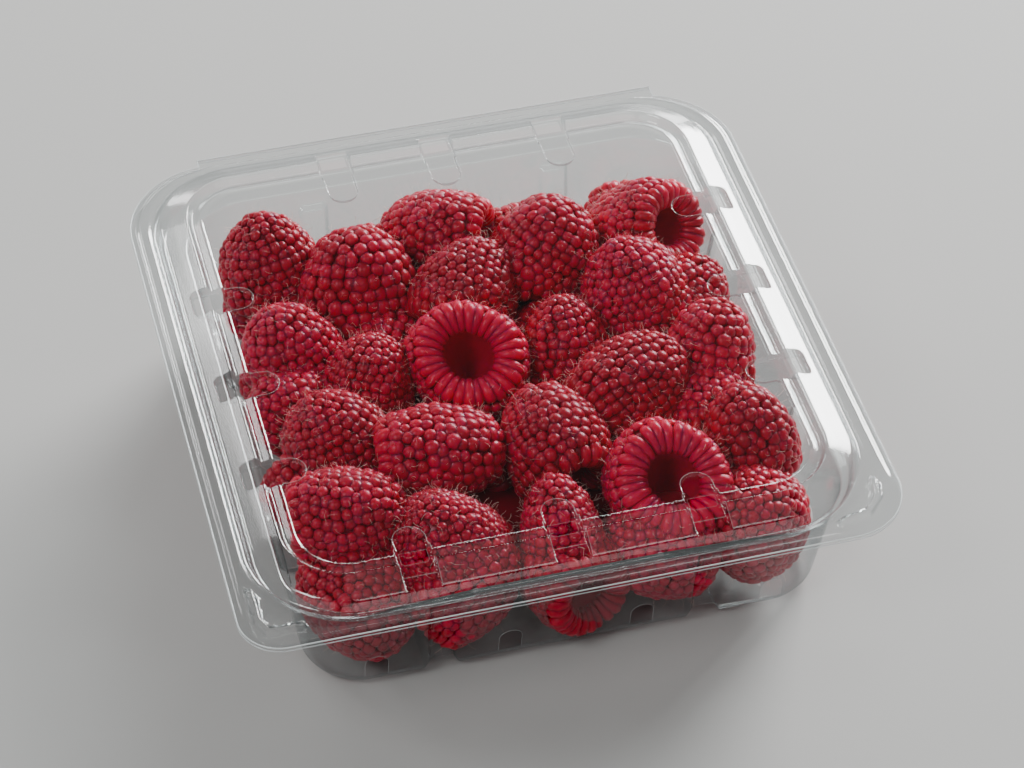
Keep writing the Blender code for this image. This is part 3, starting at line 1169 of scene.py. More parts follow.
    def build(self, film: Material, fold: Material, beads: GeometryNodeTree) -> list[Object]:
        """Builds the tray and its bright edges.

        Args:
            film: the sheet's material.
            fold: the whitish material that paints highlights on the rim and the slots' edges.
            beads: the edge bead tree.
        Returns:
            The finished pieces.
        """
        grid, z, stations = self.wall()
        levels, count = grid.shape[:2]
        faces = []
        for k in range(levels - 1):
            for j in range(count):
                n = (j + 1) % count
                quad = (k * count + j, k * count + n, (k + 1) * count + n, (k + 1) * count + j)
                faces += self.around_slots(quad, stations[j], stations[n], z[k], z[k + 1])
        points = grid.reshape(-1, 3)
        floor_points, floor_faces = self.floor(grid[-1], stations)
        faces = [face[::-1] for face in faces]
        faces += [[v + len(points) for v in face[::-1]] for face in floor_faces]
        mesh = to_mesh("tray_sheet", np.vstack([points, floor_points]), faces, film)
        self.weld(mesh)
        sheet = settle(to_object("tray_sheet", mesh), Body.TRAY, Slot.CLEAR, "tray")
        # whitish beads paint highlights along the cut edge and round the drain slots
        rim = flange_outline(self.bead)
        loops = [np.column_stack([rim, np.full(len(rim), TRAY_Z)])]
        rims = bead_piece("tray_cut_edge", loops, beads, self.bead, fold)
        slots = bead_piece("tray_slot_edges", self.slot_loops(), beads, self.slot_highlight, fold, 4.0)
        for piece in (rims, slots):
            settle(piece, Body.TRAY, Slot.CLEAR)
        return [sheet, rims, slots]

    def around_slots(
        self, quad: tuple[int, ...], here: Station, there: Station, top: float, bottom: float
    ) -> list[list[int]]:
        """Leaves a cell of the wall whole, cuts it along a slot's edge, or drops it.

        Args:
            quad: the cell's corners: upper left, upper right, lower right, lower left.
            here: station of its left side.
            there: station of its right side.
            top: height of its upper side.
            bottom: height of its lower side.
        Returns:
            The faces that are left.
        """
        if here.share or there.share or here.side != there.side:
            return [list(quad)]
        slot = min(self.slots, key=lambda s: abs(s - (here.along + there.along) / 2))
        left, right = here.along - slot, there.along - slot
        spots = ((left, top), (right, top), (right, bottom), (left, bottom))
        low = self.slot_high - self.slot_half
        if max(abs(left), abs(right)) > self.slot_half + CLOSE:
            return [list(quad)]
        if bottom < self.slot_low - CLOSE or top > self.slot_high + CLOSE:
            return [list(quad)]
        if top <= low + CLOSE:
            return []
        reaches = [math.hypot(x, y - low) / self.slot_half for x, y in spots]
        if max(reaches) <= 1 + self.arch_slack:
            return []
        kept = [corner for corner, reach in zip(quad, reaches) if reach > 1 - self.arch_slack]
        return [kept] if len(kept) == 3 else [list(quad)] if len(kept) == 4 else []

    def slot_loops(self) -> list[Array]:
        """The outline of every slot on the wall."""
        loops, shifts = self.levels()
        z = loops[:, 6] + TRAY_Z
        outline = [(self.slot_half, self.slot_low)] + self.arch()
        outline += [(-across, height) for across, height in self.arch()[-2::-1]]
        outline.append((-self.slot_half, self.slot_low))
        found = []
        for side in range(4):
            for slot in self.slots:
                points = []
                for across, height in outline:
                    after = int(np.argmax(z < height + 1e-9))
                    share = (z[after - 1] - height) / max(z[after - 1] - z[after], 1e-9)
                    ring = loops[after - 1] * (1 - share) + loops[after] * share
                    spot, _ = self.spot(ring, Station(side, slot + across), shifts[after])
                    points.append((*spot, height))
                found.append(np.array(points))
        return found

    def floor(self, rim: Array, stations: list[Station]) -> tuple[Array, list[list[int]]]:
        """The floor inside the wall's last loop, raised along its channels.

        Args:
            rim: points of the wall's last loop.
            stations: the stations of those points.
        Returns:
            The floor's points and faces.
        """
        plan = Plan()
        plan.loop(rim[:, :2])
        spots = {
            (station.side, round(station.along, 5)): k
            for k, station in enumerate(stations)
            if not station.share
        }
        for flute in self.flutes:
            for line in self.groove_lines():
                place = round(flute + line, 5)
                for side in (0, 1):
                    far = spots[(side + 2, round(-place, 5))]
                    plan.lines.append((spots[(side, place)], far))
        flat, triangles = plan.fill()
        base = self.rings[-1][6] + TRAY_Z
        share = np.zeros(len(flat))
        for flute in self.flutes:
            share = np.maximum(share, self.groove(flat[:, 0] - WELL_SHIFT - flute))
            share = np.maximum(share, self.groove(flat[:, 1] - flute))
        points = np.column_stack([flat, base + self.channel_depth * share])
        return points, triangles.tolist()

    def weld(self, mesh: Mesh) -> None:
        """Joins the floor to the wall along their common loop."""
        bm = bmesh.new()
        bm.from_mesh(mesh)
        bmesh.ops.remove_doubles(bm, verts=bm.verts, dist=0.004 * MM)
        bm.to_mesh(mesh)
        bm.free()
        mesh.update()


@dataclass
class HingeFold:
    """The living hinge: a strip folded between the two flanges."""

    reach: float = 0.32
    tuck: float = 0.3  # how far the strip starts inside the tab's edge
    steps: int = 10
    columns: int = 25
    axis: float = 65.5  # distance of the lid's hinge axis behind the middle

    def build(self, film: Material) -> Object:
        """Builds the strip in its bent shape between the two flanges; it hangs on neither body.

        Args:
            film: the sheet's material.
        Returns:
            The finished piece.
        """
        left, right, back = TAB
        half = (LID_Z - TRAY_Z) / 2
        columns = np.linspace(left, right, self.columns)
        points = []
        for angle in np.linspace(math.pi / 2, -math.pi / 2, self.steps + 1):
            y = back - self.tuck + self.reach * math.cos(angle)
            points += [(x, y, RIM_Z + half * math.sin(angle)) for x in columns]
        count = len(columns)
        faces = []
        for k in range(self.steps):
            for j in range(count - 1):
                a = k * count + j
                faces.append((a, a + 1, a + count + 1, a + count))
        mesh = to_mesh("hinge_fold", np.array(points), faces, film)
        piece = to_object("hinge_fold", mesh)
        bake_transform(piece)
        LOG.info("%s: %d faces between tray and lid", piece.name, len(faces))
        return piece


# ---------- berries


def slice_faces(k: int, count: int, rings: int) -> list[tuple[int, ...]]:
    """Faces of one slice of a body turned about its axis, from its first point on.

    Args:
        k: number of the slice.
        count: how many slices there are.
        rings: how many rings of points follow the first point.
    Returns:
        A triangle at the first point, then a quad between each two rings.
    """
    n = (k + 1) % count
    firsts = [1 + ring * count for ring in range(rings)]
    quads = [(a + k, b + k, b + n, a + n) for a, b in zip(firsts, firsts[1:])]
    return [(0, 1 + k, 1 + n), *quads]


class Lie(Enum):
    """How a berry lies, which is also the piece that it belongs to."""

    UPRIGHT = "berries_upright"
    SLANTED = "berries_slanted"
    LYING = "berries_lying"
    OPEN = "berries_open"
    WALL = "berries_at_wall"
    LOWER = "berries_lower"


@dataclass(frozen=True)
class Berry:
    """One raspberry and its place: the middle in plan, how far its top is under the lid's
    panel, and where its tip points, by turn from +X and by rise."""

    x: float
    y: float
    drop: float
    turn: float
    rise: float
    width: float
    length: float
    lie: Lie
    point: float = 1.0  # over 1 is more pointed
    grain: float = 0.88  # size of its drupelets to the largest


UPPER = (
    Berry(-36.0, 42.4, 1.2, 110, 62, 20.8, 21.5, Lie.UPRIGHT, 1.15),
    Berry(-20.0, 32.2, 0.2, 80, 60, 23.6, 23.0, Lie.UPRIGHT, 0.9, 1.12),
    Berry(-2.0, 42.6, 1.6, 152, -4, 20.5, 23.0, Lie.LYING, 1.0),
    Berry(19.3, 32.0, 0.2, 30, 48, 22.8, 22.0, Lie.SLANTED, 0.9, 0.95),
    Berry(39.2, 35.6, 0.9, 128, -34, 21.5, 23.5, Lie.LYING, 0.95),
    Berry(1.2, 24.6, 2.0, 45, 22, 21.5, 23.0, Lie.LYING, 0.9),
    Berry(32.8, 16.0, 0.4, 115, 60, 22.8, 23.5, Lie.UPRIGHT, 1.2),
    Berry(-37.2, 15.6, 1.2, 150, 70, 20.4, 21.5, Lie.UPRIGHT, 0.95),
    Berry(-24.3, 5.0, 3.0, 60, 66, 19.8, 21.0, Lie.UPRIGHT, 1.0, 0.82),
    Berry(-4.3, 5.4, 0.0, 80, -60, 24.4, 21.5, Lie.OPEN, 1.0),
    Berry(15.8, 6.0, 3.4, 90, 62, 18.6, 22.0, Lie.UPRIGHT, 1.1),
    Berry(42.0, -4.6, 1.0, 60, 58, 19.8, 23.0, Lie.SLANTED, 0.9, 0.95),
    Berry(-39.6, 4.0, 7.0, 200, 40, 18.5, 20.0, Lie.LYING, 1.0),
    Berry(-33.8, -9.4, 1.6, 140, 58, 21.8, 22.0, Lie.SLANTED, 1.0, 0.84),
    Berry(-15.4, -19.2, 0.6, -6, 6, 20.8, 25.0, Lie.LYING, 0.8, 0.98),
    Berry(5.4, -19.4, 0.9, 100, 14, 21.0, 23.5, Lie.LYING, 1.1, 0.95),
    Berry(25.3, -10.6, 0.7, 24, 16, 20.5, 24.0, Lie.LYING, 0.9, 0.92),
    Berry(42.6, -27.2, 1.2, 110, 66, 19.8, 22.0, Lie.UPRIGHT, 1.05, 0.95),
    Berry(23.6, -34.6, 0.0, 90, -58, 25.0, 22.5, Lie.OPEN, 1.0),
    Berry(-35.2, -30.2, 1.4, -14, 12, 19.8, 22.5, Lie.LYING, 0.85),
    Berry(-20.2, -38.9, 2.2, 170, 52, 22.5, 22.0, Lie.SLANTED, 0.85, 0.74),
    Berry(1.6, -40.6, 3.2, 95, 52, 17.2, 21.5, Lie.SLANTED, 1.3, 0.86),
    Berry(43.4, 14.6, 6.5, 30, 30, 18.0, 20.0, Lie.LYING, 1.0),
    Berry(38.8, -14.8, 7.0, 60, 20, 18.0, 20.0, Lie.LYING, 1.0),
)


@dataclass
class Form:
    """The even form of one berry: a section turned about the berry's own axis."""

    berry: Berry
    skin: float = 1.1  # how far the drupelets stand out from the surface their middles lie on
    hole: float = 0.2  # radius of the hollow's lip to the berry's width
    lip: float = 2.6  # how far the rim rounds into the hollow
    first_row: float = 3.9  # where the round drupelets begin, from the rim's crest
    row_gap: float = 2.12
    across_gap: float = 2.3
    rim_gap: float = 1.82
    drupelet: Triple = (1.62, 1.56, 1.1)
    grow: Pair = (0.88, 1.16)  # smallest and largest drupelet to the plain one
    astray: Pair = (0.38, 0.19)  # along the section, and as a share of the gap
    tip_grain: float = 0.88  # how much smaller the drupelets near the tip are
    tip_radius: float = 5.0
    lobe: tuple[Pair, ...] = (  # distance from the rim's crest, and thickness
        *((-4.0, 0.3), (-3.6, 0.62), (-2.8, 0.86), (-1.8, 1.02), (-0.7, 1.16)),
        *((0.5, 1.3), (1.6, 1.3), (2.5, 1.05), (3.0, 0.4)),
    )

    def __post_init__(self) -> None:
        """Draws the section from the lip of the hollow over the rim's crest to the tip."""
        berry = self.berry
        half = berry.width / 2 - self.skin
        low, high = -berry.length / 2 + self.skin, berry.length / 2 - self.skin
        hole = self.hole * berry.width
        crest = (half + hole) / 2 + 0.2
        belly = low + 0.3 * (high - low)
        a = np.linspace(0, math.pi / 2, 24)
        inside = np.column_stack([crest - (crest - hole) * np.cos(a), low + self.lip * (1 - np.sin(a))])
        under = np.column_stack([crest + (half - crest) * np.sin(a), belly - (belly - low) * np.cos(a)])
        over = np.column_stack([half * np.cos(a) ** berry.point, belly + (high - belly) * np.sin(a)])
        self.section = np.vstack([inside, under[1:], over[1:]])
        self.crest = len(inside) - 1
        runs = np.hypot(*np.diff(self.section, axis=0).T)
        self.travel = np.concatenate([[0], np.cumsum(runs)])
        self.travel -= self.travel[self.crest]

    def at(self, s: float, angle: float) -> tuple[Array, Array, Array]:
        """A spot of the surface.

        Args:
            s: distance along the section from the rim's crest.
            angle: turn about the axis.
        Returns:
            The spot, its outward direction and its direction along the section.
        """
        spots = [
            np.interp(s + step, self.travel, self.section[:, k])
            for k in (0, 1)
            for step in (0, -0.4, 0.4)
        ]
        run = np.array([spots[2] - spots[1], spots[5] - spots[4]])
        run /= max(np.hypot(*run), 1e-6)
        c, t = math.cos(angle), math.sin(angle)
        place = np.array((spots[0] * c, spots[0] * t, spots[3]))
        out = np.array((run[1] * c, run[1] * t, -run[0]))
        return place, out, np.array((run[0] * c, run[0] * t, run[1]))

    def sites(self, rng: np.random.Generator) -> tuple[Array, ...]:
        """Where the round drupelets sit, in staggered rings.

        Args:
            rng: the source of unevenness.
        Returns:
            Places, outward and along directions, and half sizes.
        """
        found: list[list] = [[], [], [], []]
        s, row, grain = self.first_row, 0, self.berry.grain
        along, across = self.astray
        while s < self.travel[-1] - 0.3:
            radius = float(np.interp(s, self.travel, self.section[:, 0]))
            count = max(int(round(2 * math.pi * radius / (self.across_gap * grain))), 1)
            start = rng.uniform(0, 0.3) + 0.5 * (row % 2)
            small = grain * (1.0 if radius > self.tip_radius else self.tip_grain)
            for k in range(count):
                angle = 2 * math.pi * (k + start + rng.uniform(-across, across)) / count
                grow = small * rng.uniform(*self.grow)
                spot = self.at(s + rng.uniform(-along, along), angle)
                for values, value in zip(found, (*spot, [v * grow for v in self.drupelet])):
                    values.append(value)
            s += self.row_gap * small
            row += 1
        return tuple(np.array(values) for values in found)

    def lobes(self, rng: np.random.Generator) -> tuple[Array, Array, Array]:
        """Middle lines of the long drupelets that wrap over the rim into the hollow.

        Args:
            rng: the source of unevenness.
        Returns:
            Points by lobe, thickness by lobe, and the outward direction at each point.
        """
        count = int(round(2 * math.pi * self.section[self.crest, 0] / self.rim_gap))
        lines, thick, outward = [], [], []
        for k in range(count):
            angle = 2 * math.pi * (k + rng.uniform(-0.2, 0.2)) / count
            reach, lift = rng.uniform(-0.4, 0.4), rng.uniform(0.86, 1.12)
            twist = rng.uniform(-0.012, 0.012)
            spots = [self.at(s + reach * (s + 2.5) / 3.5, angle + twist * s) for s, _ in self.lobe]
            lines.append([spot[0] for spot in spots])
            thick.append([width * lift for _, width in self.lobe])
            outward.append([spot[1] for spot in spots])
        return np.array(lines), np.array(thick), np.array(outward)

    def flesh(self) -> tuple[Array, list[tuple[int, ...]]]:
        """The closed body under the drupelets, with its ribbed hollow.

        Returns:
            Its points and faces.
        """
        section, crest = self.section, self.crest
        outer = section[crest::3][::-1] * [0.985, 1.0]
        inside = section[:crest:4][::-1]
        hole, lip = section[0]
        end = lip + 0.58 * self.berry.length
        a = np.linspace(0.2, math.pi / 2, 7)
        share = a / a[-1]
        wall = np.column_stack([hole * (1 - 0.86 * share**1.6), lip + (end - lip) * share])
        rows = np.vstack([outer, inside, wall, [[hole * 0.06, end + 0.5]]])
        rows = rows[rows[:, 0] > 0.05]
        count = 52
        angles = 2 * math.pi * np.arange(count) / count
        ribs = 0.14 * (np.arange(count) % 2)
        deep = len(rows) - 8
        points = [(0.0, 0.0, float(outer[0, 1]))]
        for k, (radius, z) in enumerate(rows):
            wide = radius + ribs * (k >= deep)
            points += [(r * math.cos(t), r * math.sin(t), z) for r, t in zip(wide, angles)]
        points.append((0.0, 0.0, float(rows[-1, 1]) + 0.2))
        faces = []
        for k in range(count):
            faces += slice_faces(k, count, len(rows))
            last = 1 + (len(rows) - 1) * count
            faces.append((last + k, len(points) - 1, last + (k + 1) % count))
        return np.array(points), faces


@dataclass(frozen=True)
class DrupeletTree:
    """A tree that sets an uneven round drupelet on every site and joins it to the flesh."""

    segments: int = 8
    turns: tuple[float, ...] = (30.0, 60.0, 96.0)  # degrees down from the crown

    def drupelet(self) -> Object:
        """Makes the one drupelet that is set on every site, a unit ball with a flat foot.

        Returns:
            The object; it is taken away once the berries stand.
        """
        points = [(0.0, 0.0, 1.0)]
        for turn in np.radians(self.turns):
            for a in 2 * np.pi * np.arange(self.segments) / self.segments:
                wide = math.sin(turn)
                points.append((wide * math.cos(a), wide * math.sin(a), math.cos(turn)))
        faces, count = [], self.segments
        for k in range(count):
            faces += slice_faces(k, count, len(self.turns))
        faces.append(tuple(range(len(points) - 1, len(points) - 1 - count, -1)))
        mesh = to_mesh("drupelet", np.array(points) / MM, faces)
        # crown: 1 at the ball's top, falling towards its foot; the skin paints shade where it is low
        crowns = np.array([0.5 + 0.5 * z for _, _, z in points])
        mesh.attributes.new("crown", "FLOAT", "POINT").data.foreach_set("value", crowns)
        return to_object("drupelet", mesh)

    def build(self) -> GeometryNodeTree:
        """Builds the tree.

        Returns:
            The tree, with inputs Drupelet, Unevenness, Seed and Material.
        """
        inputs = {
            "Drupelet": ("NodeSocketObject", None),
            "Unevenness": ("NodeSocketFloat", 0.14),
            "Seed": ("NodeSocketInt", 1),
            "Material": ("NodeSocketMaterial", None),
        }
        tree, start, end = new_tree("drupelets", inputs)
        add = partial(add_node, tree)
        seed = start.outputs["Seed"]
        base = start.outputs["Geometry"]
        read = {}
        for name in ("site", "outward", "along", "size"):
            kind = "FLOAT" if name == "site" else "FLOAT_VECTOR"
            node = add("GeometryNodeInputNamedAttribute", {"Name": name}, data_type=kind)
            read[name] = node.outputs["Attribute"]
        is_site = add(
            "FunctionNodeCompare",
            {0: read["site"], 1: 0.5},
            data_type="FLOAT",
            operation="GREATER_THAN",
        ).outputs["Result"]
        bead = add("GeometryNodeObjectInfo", {"Object": start.outputs["Drupelet"]})
        upright = add("FunctionNodeAlignRotationToVector", {"Vector": read["outward"]}, axis="Z")
        turned = add(
            "FunctionNodeAlignRotationToVector",
            {"Rotation": upright, "Vector": read["along"]},
            axis="X",
            pivot_axis="Z",
        )
        less = add("ShaderNodeMath", {0: 1.0, 1: start.outputs["Unevenness"]}, operation="SUBTRACT")
        more = add("ShaderNodeMath", {0: 1.0, 1: start.outputs["Unevenness"]}, operation="ADD")
        jitter = add(
            "FunctionNodeRandomValue",
            {"Min": less, "Max": more, "Seed": seed},
            data_type="FLOAT_VECTOR",
        )
        scale = add(
            "ShaderNodeVectorMath", {0: read["size"], 1: jitter.outputs["Value"]}, operation="MULTIPLY"
        )
        beads = add(
            "GeometryNodeInstanceOnPoints",
            {
                "Points": base,
                "Selection": is_site,
                "Instance": bead.outputs["Geometry"],
                "Rotation": turned,
                "Scale": scale,
            },
        )
        shades = {2: SHADES[0], 3: SHADES[1], "Seed": seed}
        shade = add("FunctionNodeRandomValue", shades, data_type="FLOAT")
        own = add(
            "GeometryNodeInputNamedAttribute", {"Name": "tone"}, data_type="FLOAT"
        ).outputs["Attribute"]
        shade = add("ShaderNodeMath", {0: shade.outputs[1], 1: own}, operation="ADD")
        toned = add(
            "GeometryNodeStoreNamedAttribute",
            {"Geometry": beads, "Name": "tone", "Value": shade},
            data_type="FLOAT",
            domain="INSTANCE",
        )
        flesh = add(
            "GeometryNodeDeleteGeometry", {"Geometry": base, "Selection": is_site}, domain="POINT"
        )
        joined = add("GeometryNodeJoinGeometry")
        tree.links.new(toned.outputs[0], joined.inputs[0])
        tree.links.new(flesh.outputs[0], joined.inputs[0])
        soft = add("GeometryNodeSetShadeSmooth", {"Geometry": joined})
        dress(tree, soft, start, end)
        return tree


class RimLobeTree:
    """A tree that swells wires to the long lobes round a hollow's rim."""

    def build(self) -> GeometryNodeTree:
        """Builds the tree.

        Returns:
            The tree, with inputs Sides and Material.
        """
        inputs = {"Sides": ("NodeSocketInt", 8), "Material": ("NodeSocketMaterial", None)}
        tree, start, end = new_tree("rim_lobes", inputs)
        add = partial(add_node, tree)
        wires = add("GeometryNodeMeshToCurve", {"Mesh": start.outputs["Geometry"]})
        section = add(
            "GeometryNodeCurvePrimitiveCircle", {"Resolution": start.outputs["Sides"], "Radius": 1.0}
        )
        thick = add("GeometryNodeInputNamedAttribute", {"Name": "thick"}, data_type="FLOAT")
        swollen = add(
            "GeometryNodeCurveToMesh",
            {
                "Curve": wires,
                "Profile Curve": section,
                "Scale": thick.outputs["Attribute"],
                "Fill Caps": True,
            },
        )
        # painted shade: crown falls where a lobe's surface turns away from the berry's outside, so the
        # skin darkens its flanks and underside
        away = add(
            "GeometryNodeInputNamedAttribute", {"Name": "outward"}, data_type="FLOAT_VECTOR"
        ).outputs["Attribute"]
        face = add(
            "ShaderNodeVectorMath",
            {0: add("GeometryNodeInputNormal"), 1: away},
            operation="DOT_PRODUCT",
        ).outputs["Value"]
        crown = add("ShaderNodeMath", {0: face, 1: 0.5, 2: 0.5}, operation="MULTIPLY_ADD")
        swollen = add(
            "GeometryNodeStoreNamedAttribute",
            {"Geometry": swollen, "Name": "crown", "Value": crown},
            data_type="FLOAT",
            domain="POINT",
        )
        soft = add("GeometryNodeSetShadeSmooth", {"Geometry": swollen})
        dress(tree, soft, start, end)
        return tree


@dataclass(frozen=True)
class HairTree:
    """A tree that stands a bent dried style on most of the sites."""

    elbow: Triple = (0.0, 0.0, 0.6)  # shares of the length
    tip: Triple = (0.42, 0.0, 0.85)
    sizes: Pair = (0.45, 1.35)
    lean: float = 0.7  # radians either way

    def build(self) -> GeometryNodeTree:
        """Builds the tree.

        Returns:
            The tree, with inputs Length, Radius, Share, Seed and Material.
        """
        inputs = {
            "Length": ("NodeSocketFloat", 1.6 * MM),
            "Radius": ("NodeSocketFloat", 0.021 * MM),
            "Share": ("NodeSocketFloat", 0.85),
            "Seed": ("NodeSocketInt", 3),
            "Material": ("NodeSocketMaterial", None),
        }
        tree, start, end = new_tree("dried_styles", inputs)
        add = partial(add_node, tree)
        seed = start.outputs["Seed"]
        outward = add(
            "GeometryNodeInputNamedAttribute", {"Name": "outward"}, data_type="FLOAT_VECTOR"
        ).outputs["Attribute"]
        length = start.outputs["Length"]
        tip = add("ShaderNodeVectorMath", {0: self.tip, "Scale": length}, operation="SCALE")
        elbow = add("ShaderNodeVectorMath", {0: self.elbow, "Scale": length}, operation="SCALE")
        line = add(
            "GeometryNodeCurveQuadraticBezier",
            {"Resolution": 2, "Start": (0.0, 0.0, 0.0), "Middle": elbow, "End": tip},
        )
        section = add(
            "GeometryNodeCurvePrimitiveCircle", {"Resolution": 3, "Radius": start.outputs["Radius"]}
        )
        strand = add(
            "GeometryNodeCurveToMesh", {"Curve": line, "Profile Curve": section, "Fill Caps": True}
        )
        upright = add("FunctionNodeAlignRotationToVector", {"Vector": outward}, axis="Z")
        keep = add(
            "FunctionNodeRandomValue",
            {"Probability": start.outputs["Share"], "Seed": seed},
            data_type="BOOLEAN",
        )
        sizes = {2: self.sizes[0], 3: self.sizes[1], "Seed": seed}
        size = add("FunctionNodeRandomValue", sizes, data_type="FLOAT")
        strands = add(
            "GeometryNodeInstanceOnPoints",
            {
                "Points": start.outputs["Geometry"],
                "Selection": keep.outputs[3],
                "Instance": strand,
                "Rotation": upright,
                "Scale": size.outputs[1],
            },
        )
        low, high = (-self.lean, -self.lean, 0.0), (self.lean, self.lean, 6.28)
        lean = add(
            "FunctionNodeRandomValue", {"Min": low, "Max": high, "Seed": seed}, data_type="FLOAT_VECTOR"
        )
        leant = add(
            "GeometryNodeRotateInstances", {"Instances": strands, "Rotation": lean, "Local Space": True}
        )
        dress(tree, leant, start, end)
        return tree


@dataclass
class Grown:
    """One berry in its place."""

    points: Array
    faces: list[tuple[int, ...]]
    places: Array
    outward: Array
    along: Array
    size: Array
    # crown of each flesh point, which sets how much painted crease shade it takes
    hollow: Array
    lines: Array
    thick: Array
    rim_out: Array
    tone: float


@dataclass
class Heap:
    """The raspberries: an upper layer as they lie and a lower one in rows, over a core."""

    ceiling: float = 32.6  # just under the lid's panel
    floor_z: float = 0.6  # just over the tray's floor
    below: tuple[Pair, ...] = (  # front row, back row, sides and middle
        *((-36.6, -43.3), (-17.0, -43.6), (1.4, -43.2), (19.0, -43.6), (38.4, -43.2)),
        *((-36.5, 42.4), (-12.5, 42.6), (13.0, 42.6), (39.5, 42.4)),
        *((-38.0, -15.0), (-38.0, 14.5), (41.0, -14.5), (41.0, 15.0)),
        *((-13.5, -17.0), (13.5, -14.0), (-19.0, 15.5), (16.0, 17.0)),
    )
    low_width: Pair = (19.4, 20.6)
    low_length: Pair = (20.0, 21.5)
    front_extra: float = 1.2  # how much wider and longer the front row's berries are
    oval: float = 0.05
    lumps: Pair = (0.03, 0.022)
    lean: float = 3.6
    flesh_tone: float = 0.6
    tone_spread: float = 0.12
    # crown of the hollow's inside, which keeps it nearly clear of the painted crease shade that the
    # rest of the flesh takes
    hollow_crown: float = 0.85
    open_tone: float = 0.32  # how much brighter the berries with an open rim upward are
    foot: float = 1.15  # a low drupelet's half width, to the plain one's
    hair_share: float = 0.56
    hidden_hair_share: float = 0.2  # for berries at the walls and below
    hair_floor: float = 0.3
    hair_root: float = 0.15  # how deep a hair starts in its drupelet
    hair_spread: float = 0.3
    hair_spots: tuple[int, ...] = (5, 7)  # points of a rim lobe that carry a hair
    hair_reach: float = 1.7  # room that a hair needs under the panel and at the walls
    walls: tuple[Pair, ...] = ((-53.5, 53.5), (-56.5, 56.5))
    wall_taper: float = 0.1
    drupelet: Object | None = field(default=None, init=False)
    face_down: float = -0.55  # rise of a direction that looks down, out of sight
    face_down_from: float = 9.0  # height over which the lower layer hides what looks down
    buried: float = 7.6  # a drupelet nearer than this to another berry's middle is out of sight
    core_low: float = 1.4
    core_high: float = 13.0
    core_half: float = 38.0
    core_rows: int = 15
    core_columns: int = 40
    # a low tone and crown paint the core dark, as the shade deep between the berries
    core_shade_tone: float = 0.2
    core_shade_crown: float = 0.4
    seed: int = 7

    def bend(self, berry: Berry, points: Array, phases: Array) -> Array:
        """Makes a berry uneven: oval, leaning and lumpy.

        Args:
            berry: the berry.
            points: points of the even berry.
            phases: random numbers that belong to this berry.
        Returns:
            The moved points.
        """
        x, y, z = points.T
        angle = np.arctan2(y, x)
        up = z / berry.length
        oval = 1 + self.oval * np.cos(2 * angle + 6.28 * phases[0])
        lump = self.lumps[0] * np.sin(3 * angle + 6.28 * phases[1] + 4 * up)
        lump += self.lumps[1] * np.sin(5 * angle + 6.28 * phases[2] - 7 * up)
        scale = oval + lump * (0.3 + np.hypot(x, y) / berry.width)
        lean = np.outer((phases[3:5] - 0.5) * self.lean, (up + 0.1) ** 2)
        return np.column_stack([x * scale + lean[0], y * scale + lean[1], z])

    def lay(self, berry: Berry, roll: float) -> tuple[Matrix, Vector]:
        """How the berry is turned and where its middle goes.

        Args:
            berry: the berry.
            roll: its turn about its own axis.
        Returns:
            The rotation and the middle.
        """
        turn, rise = math.radians(berry.turn), math.radians(berry.rise)
        tip = Vector((math.cos(turn) * math.cos(rise), math.sin(turn) * math.cos(rise), math.sin(rise)))
        rotate = tip.to_track_quat("Z", "Y").to_matrix() @ Matrix.Rotation(roll, 3, "Z")
        half = math.hypot(berry.length / 2 * tip.z, berry.width / 2 * math.cos(rise))
        return rotate, Vector((berry.x, berry.y, self.ceiling - berry.drop - half))

    def lower(self, rng: np.random.Generator) -> list[Berry]:
        """The lower layer, against the walls and between them.

        Args:
            rng: the source of unevenness.
        Returns:
            Its berries.
        """
        found = []
        for x, y in self.below:
            more = self.front_extra if y < -40 else 0.0
            width = rng.uniform(*self.low_width) + more
            length = rng.uniform(*self.low_length) + more
            turn, rise = rng.uniform(0, 360), rng.uniform(-30, 60)
            lie = Lie.WALL if abs(y) > 40 else Lie.LOWER
            found.append(Berry(x, y, 0, turn, rise, width, length, lie))
        return found

    def build(self, skin: Material, hair: Material) -> list[Object]:
        """Builds the berries, one piece for each way of lying, and their hairs.

        Args:
            skin: the drupelets' material.
            hair: the dried styles' material.
        Returns:
            The finished pieces.
        """
        rng = np.random.default_rng(self.seed)
        trees = (DrupeletTree().build(), RimLobeTree().build(), HairTree().build())
        self.drupelet = DrupeletTree().drupelet()
        berries = [*UPPER, *self.lower(rng)]
        pieces = []
        everyone = {lie: [self.grow(b, rng) for b in berries if b.lie is lie] for lie in Lie}
        self.thin([one for row in everyone.values() for one in row])
        for lie, grown in everyone.items():
            hidden = lie in (Lie.LOWER, Lie.WALL)
            share = self.hidden_hair_share if hidden else self.hair_share
            rims, hairs = (lie.value.replace("berries", part) for part in ("rims", "hairs"))
            pieces.append(self.drupelets(lie.value, grown, skin, trees[0]))
            pieces.append(self.rims(rims, grown, skin, trees[1]))
            pieces.append(self.hairs(hairs, grown, hair, trees[2], share))
        pieces.append(self.core(skin))
        bpy.data.objects.remove(self.drupelet)
        for k, piece in enumerate(pieces):
            settle(piece, Body.TRAY, Slot.FRUIT, *(["berries"] if k == 0 else []))
        return pieces

    def thin(self, grown: list[Grown]) -> None:
        """Drops the drupelets that lie deep in a neighbour or face down onto the lower layer.

        Args:
            grown: every berry.
        """
        middles = np.array([one.points.mean(0) for one in grown])
        for k, one in enumerate(grown):
            inside = np.zeros(len(one.places), bool)
            for other in np.delete(middles, k, axis=0):
                inside |= np.linalg.norm(one.places - other, axis=1) < self.buried
            down = one.outward[:, 2] < self.face_down
            inside |= down & (one.places[:, 2] > self.face_down_from)
            for name in ("places", "outward", "along", "size"):
                setattr(one, name, getattr(one, name)[~inside])
            middle = self.hair_spots[0]
            down = one.rim_out[:, middle, 2] < self.face_down
            under = down & (one.lines[:, middle, 2] > self.face_down_from)
            for name in ("lines", "thick", "rim_out"):
                setattr(one, name, getattr(one, name)[~under])

